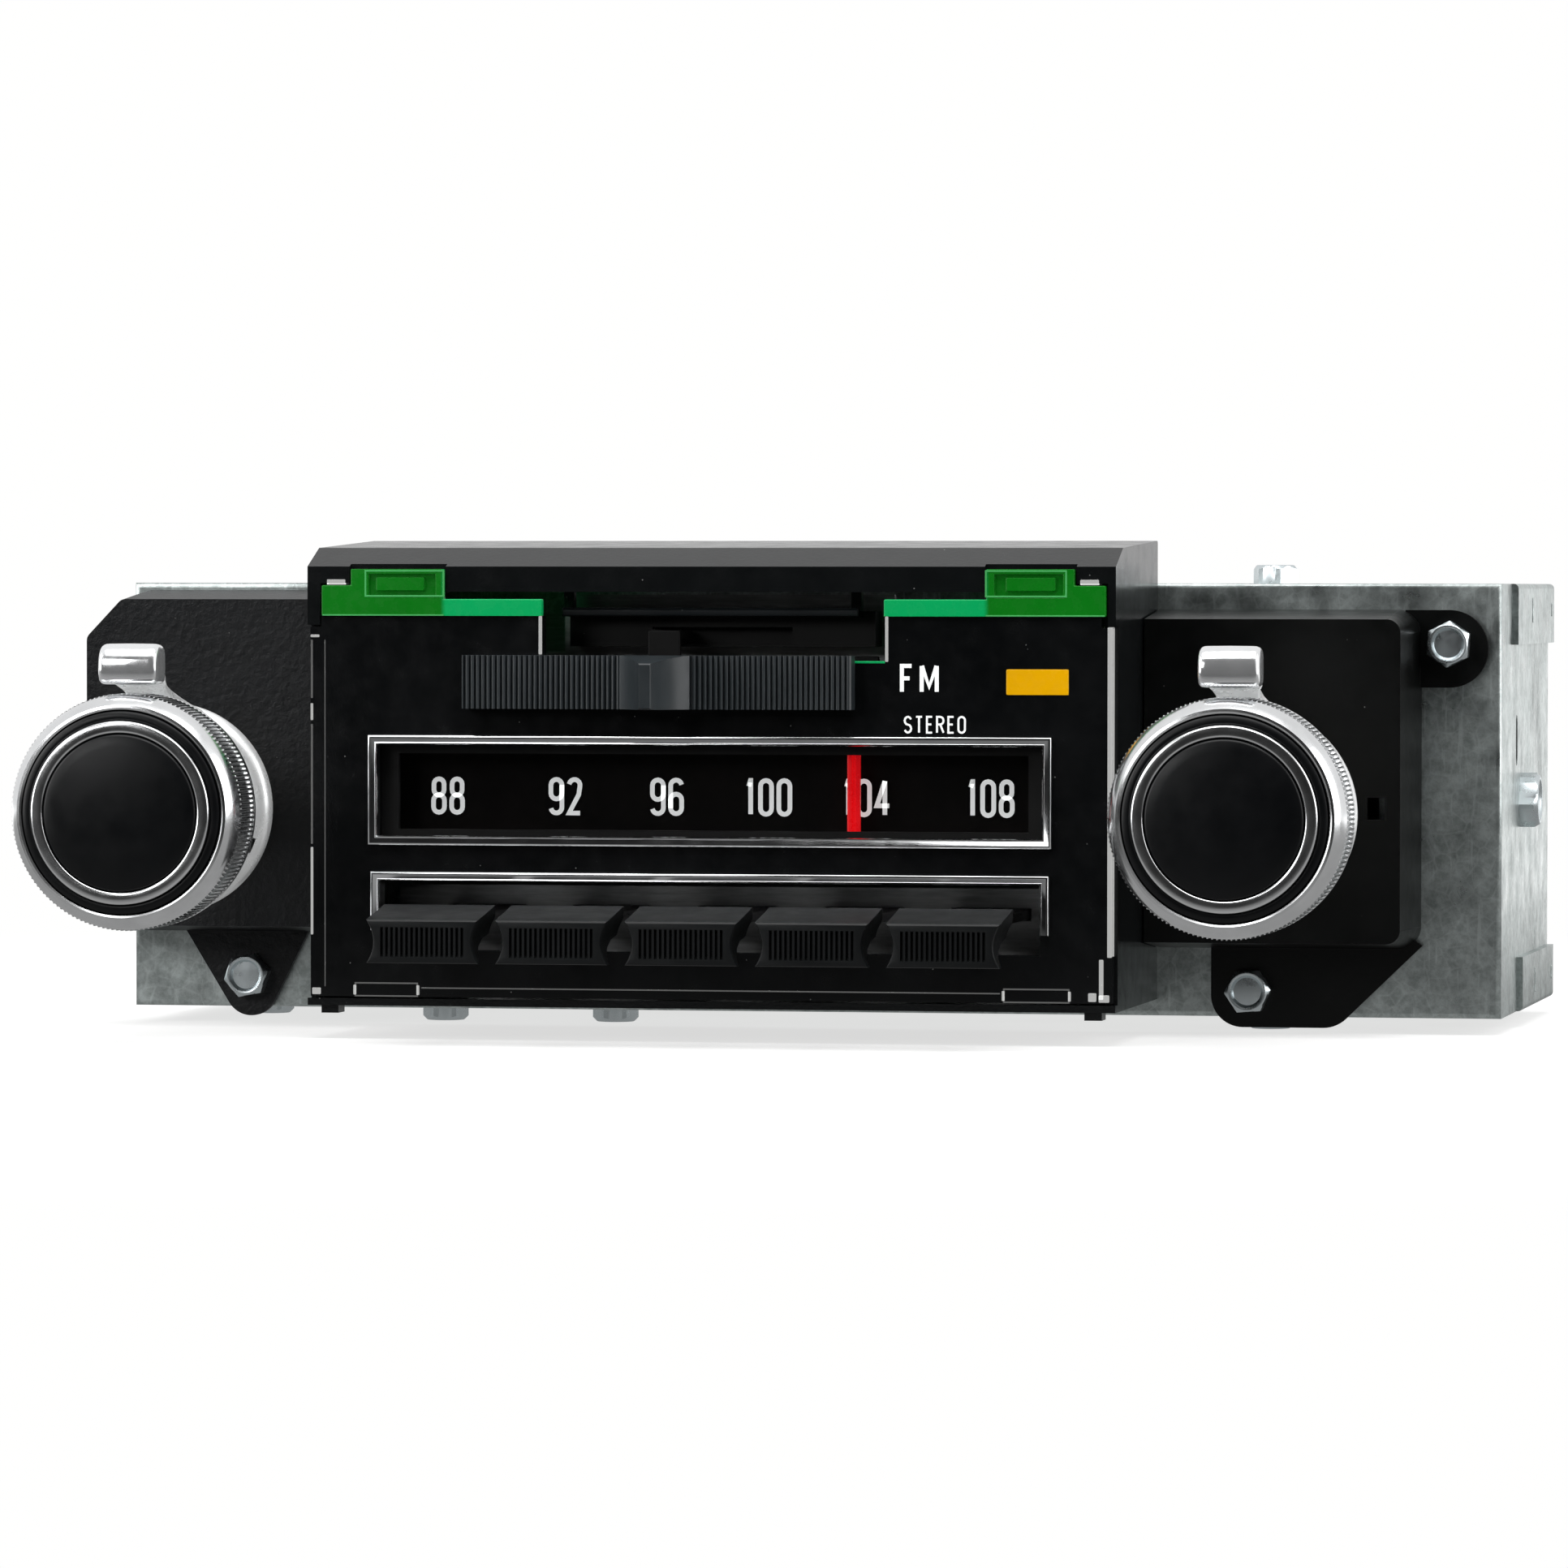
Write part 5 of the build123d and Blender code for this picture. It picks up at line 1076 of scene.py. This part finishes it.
def floor():
    """Pale floor that turns into plain white away from the radio, and dark in front for reflections."""
    middle = (cad_low + cad_high) / 2
    mesh = bpy.data.meshes.new("floor")
    corners = [(x * FLOOR_REACH, y * FLOOR_REACH, 0.0) for x, y in ((-1, -1), (1, -1), (1, 1), (-1, 1))]
    mesh.from_pydata(corners, [], [(0, 1, 2, 3)])
    ground = bpy.data.objects.new("floor", mesh)
    ground.location = (middle.x, middle.y, cad_low.z)
    bpy.context.scene.collection.objects.link(ground)
    material = bpy.data.materials.new("floor")
    net = Net(material)
    net.nodes.clear()

    def glow(strength):
        return net.add("Emission", {"Color": WHITE, "Strength": strength})

    lit = net.add("AddShader", {0: net.add("BsdfDiffuse", {"Color": FLOOR_GREY}), 1: glow(FLOOR_GLOW)})
    place = net.add("TexCoord", {}, "Object")
    along = net.add("SeparateXYZ", {"Vector": place}, "Y")
    away = net.add("VectorMath", {0: place}, "Value", operation="LENGTH")
    seen = net.add("MixShader", {"Fac": net.fade(away, 0.16, 0.4, 0.0, 1.0), 1: lit, 2: glow(1.0)})
    near = net.fade(along, -0.3, -0.1, FRONT_DARK, FLOOR_MIRRORED)
    behind = net.fade(along, 0.1, 0.6, 0.0, FLOOR_BEHIND)
    net.close("OutputMaterial", glow(net.add("Math", {0: near, 1: behind})), seen)
    mesh.materials.append(material)


def surroundings():
    """White studio all round, dark behind the camera, where the lens and a black screen stand."""
    world = bpy.data.worlds.new("studio")
    bpy.context.scene.world = world
    net = Net(world)
    net.nodes.clear()
    along = net.add("SeparateXYZ", {"Vector": net.add("TexCoord", {}, "Generated")}, "Y")
    around = net.add("Background", {"Strength": net.fade(along, -0.85, -0.3, FRONT_DARK, SURROUND)})
    net.close("OutputWorld", around, net.add("Background", {"Color": WHITE}))


def softbox(name, place, size, power):
    """A large soft light that looks at the middle of the radio."""
    light = bpy.data.lights.new(name, "AREA")
    light.shape = "RECTANGLE"
    light.size, light.size_y = size
    light.energy = power
    lamp = bpy.data.objects.new(name, light)
    lamp.location = place
    lamp.rotation_euler = (-Vector(place)).to_track_quat("-Z", "Y").to_euler()
    lamp.visible_camera = False
    bpy.context.scene.collection.objects.link(lamp)


CAMERA_AZIMUTH = radians(10.73)
CAMERA_ELEVATION = radians(1.344)
CAMERA_ROLL = radians(0.049)
CAMERA_DISTANCE = 1.27298
CAMERA_RIGHT = 0.01165
CAMERA_UP = 0.00406
CAMERA_LENS = 191.07


def camera():
    """Long lens a little to the right of the radio's middle, nearly level with it."""
    data = bpy.data.cameras.new("camera")
    data.lens = CAMERA_LENS
    data.sensor_width = SENSOR
    data.clip_start, data.clip_end = 0.05, 50.0
    eye = bpy.data.objects.new("camera", data)
    bpy.context.scene.collection.objects.link(eye)
    level = cos(CAMERA_ELEVATION)
    back = Vector((sin(CAMERA_AZIMUTH) * level, -cos(CAMERA_AZIMUTH) * level, sin(CAMERA_ELEVATION)))
    right = (-back).cross(Vector((0, 0, 1))).normalized()
    up = right.cross(-back)
    eye.location = back * CAMERA_DISTANCE + right * CAMERA_RIGHT + up * CAMERA_UP
    turned_right = right * cos(CAMERA_ROLL) + up * sin(CAMERA_ROLL)
    turned_up = up * cos(CAMERA_ROLL) - right * sin(CAMERA_ROLL)
    eye.rotation_mode = "QUATERNION"
    eye.rotation_quaternion = Matrix((turned_right, turned_up, back)).transposed().to_quaternion()
    bpy.context.scene.camera = eye


floor()
surroundings()
softbox("softbox_top", (0.05, -0.3, 0.75), (0.9, 0.6), 5.5)
softbox("softbox_left", (-0.8, -0.35, 0.25), (0.5, 0.8), 4.0)
softbox("softbox_right", (0.85, -0.1, 0.2), (0.6, 0.8), 4.0)
softbox("softbox_front_left", (-0.5, -0.9, 0.36), (0.34, 0.3), 1.6)
camera()
bpy.context.scene.view_settings.view_transform = "Standard"
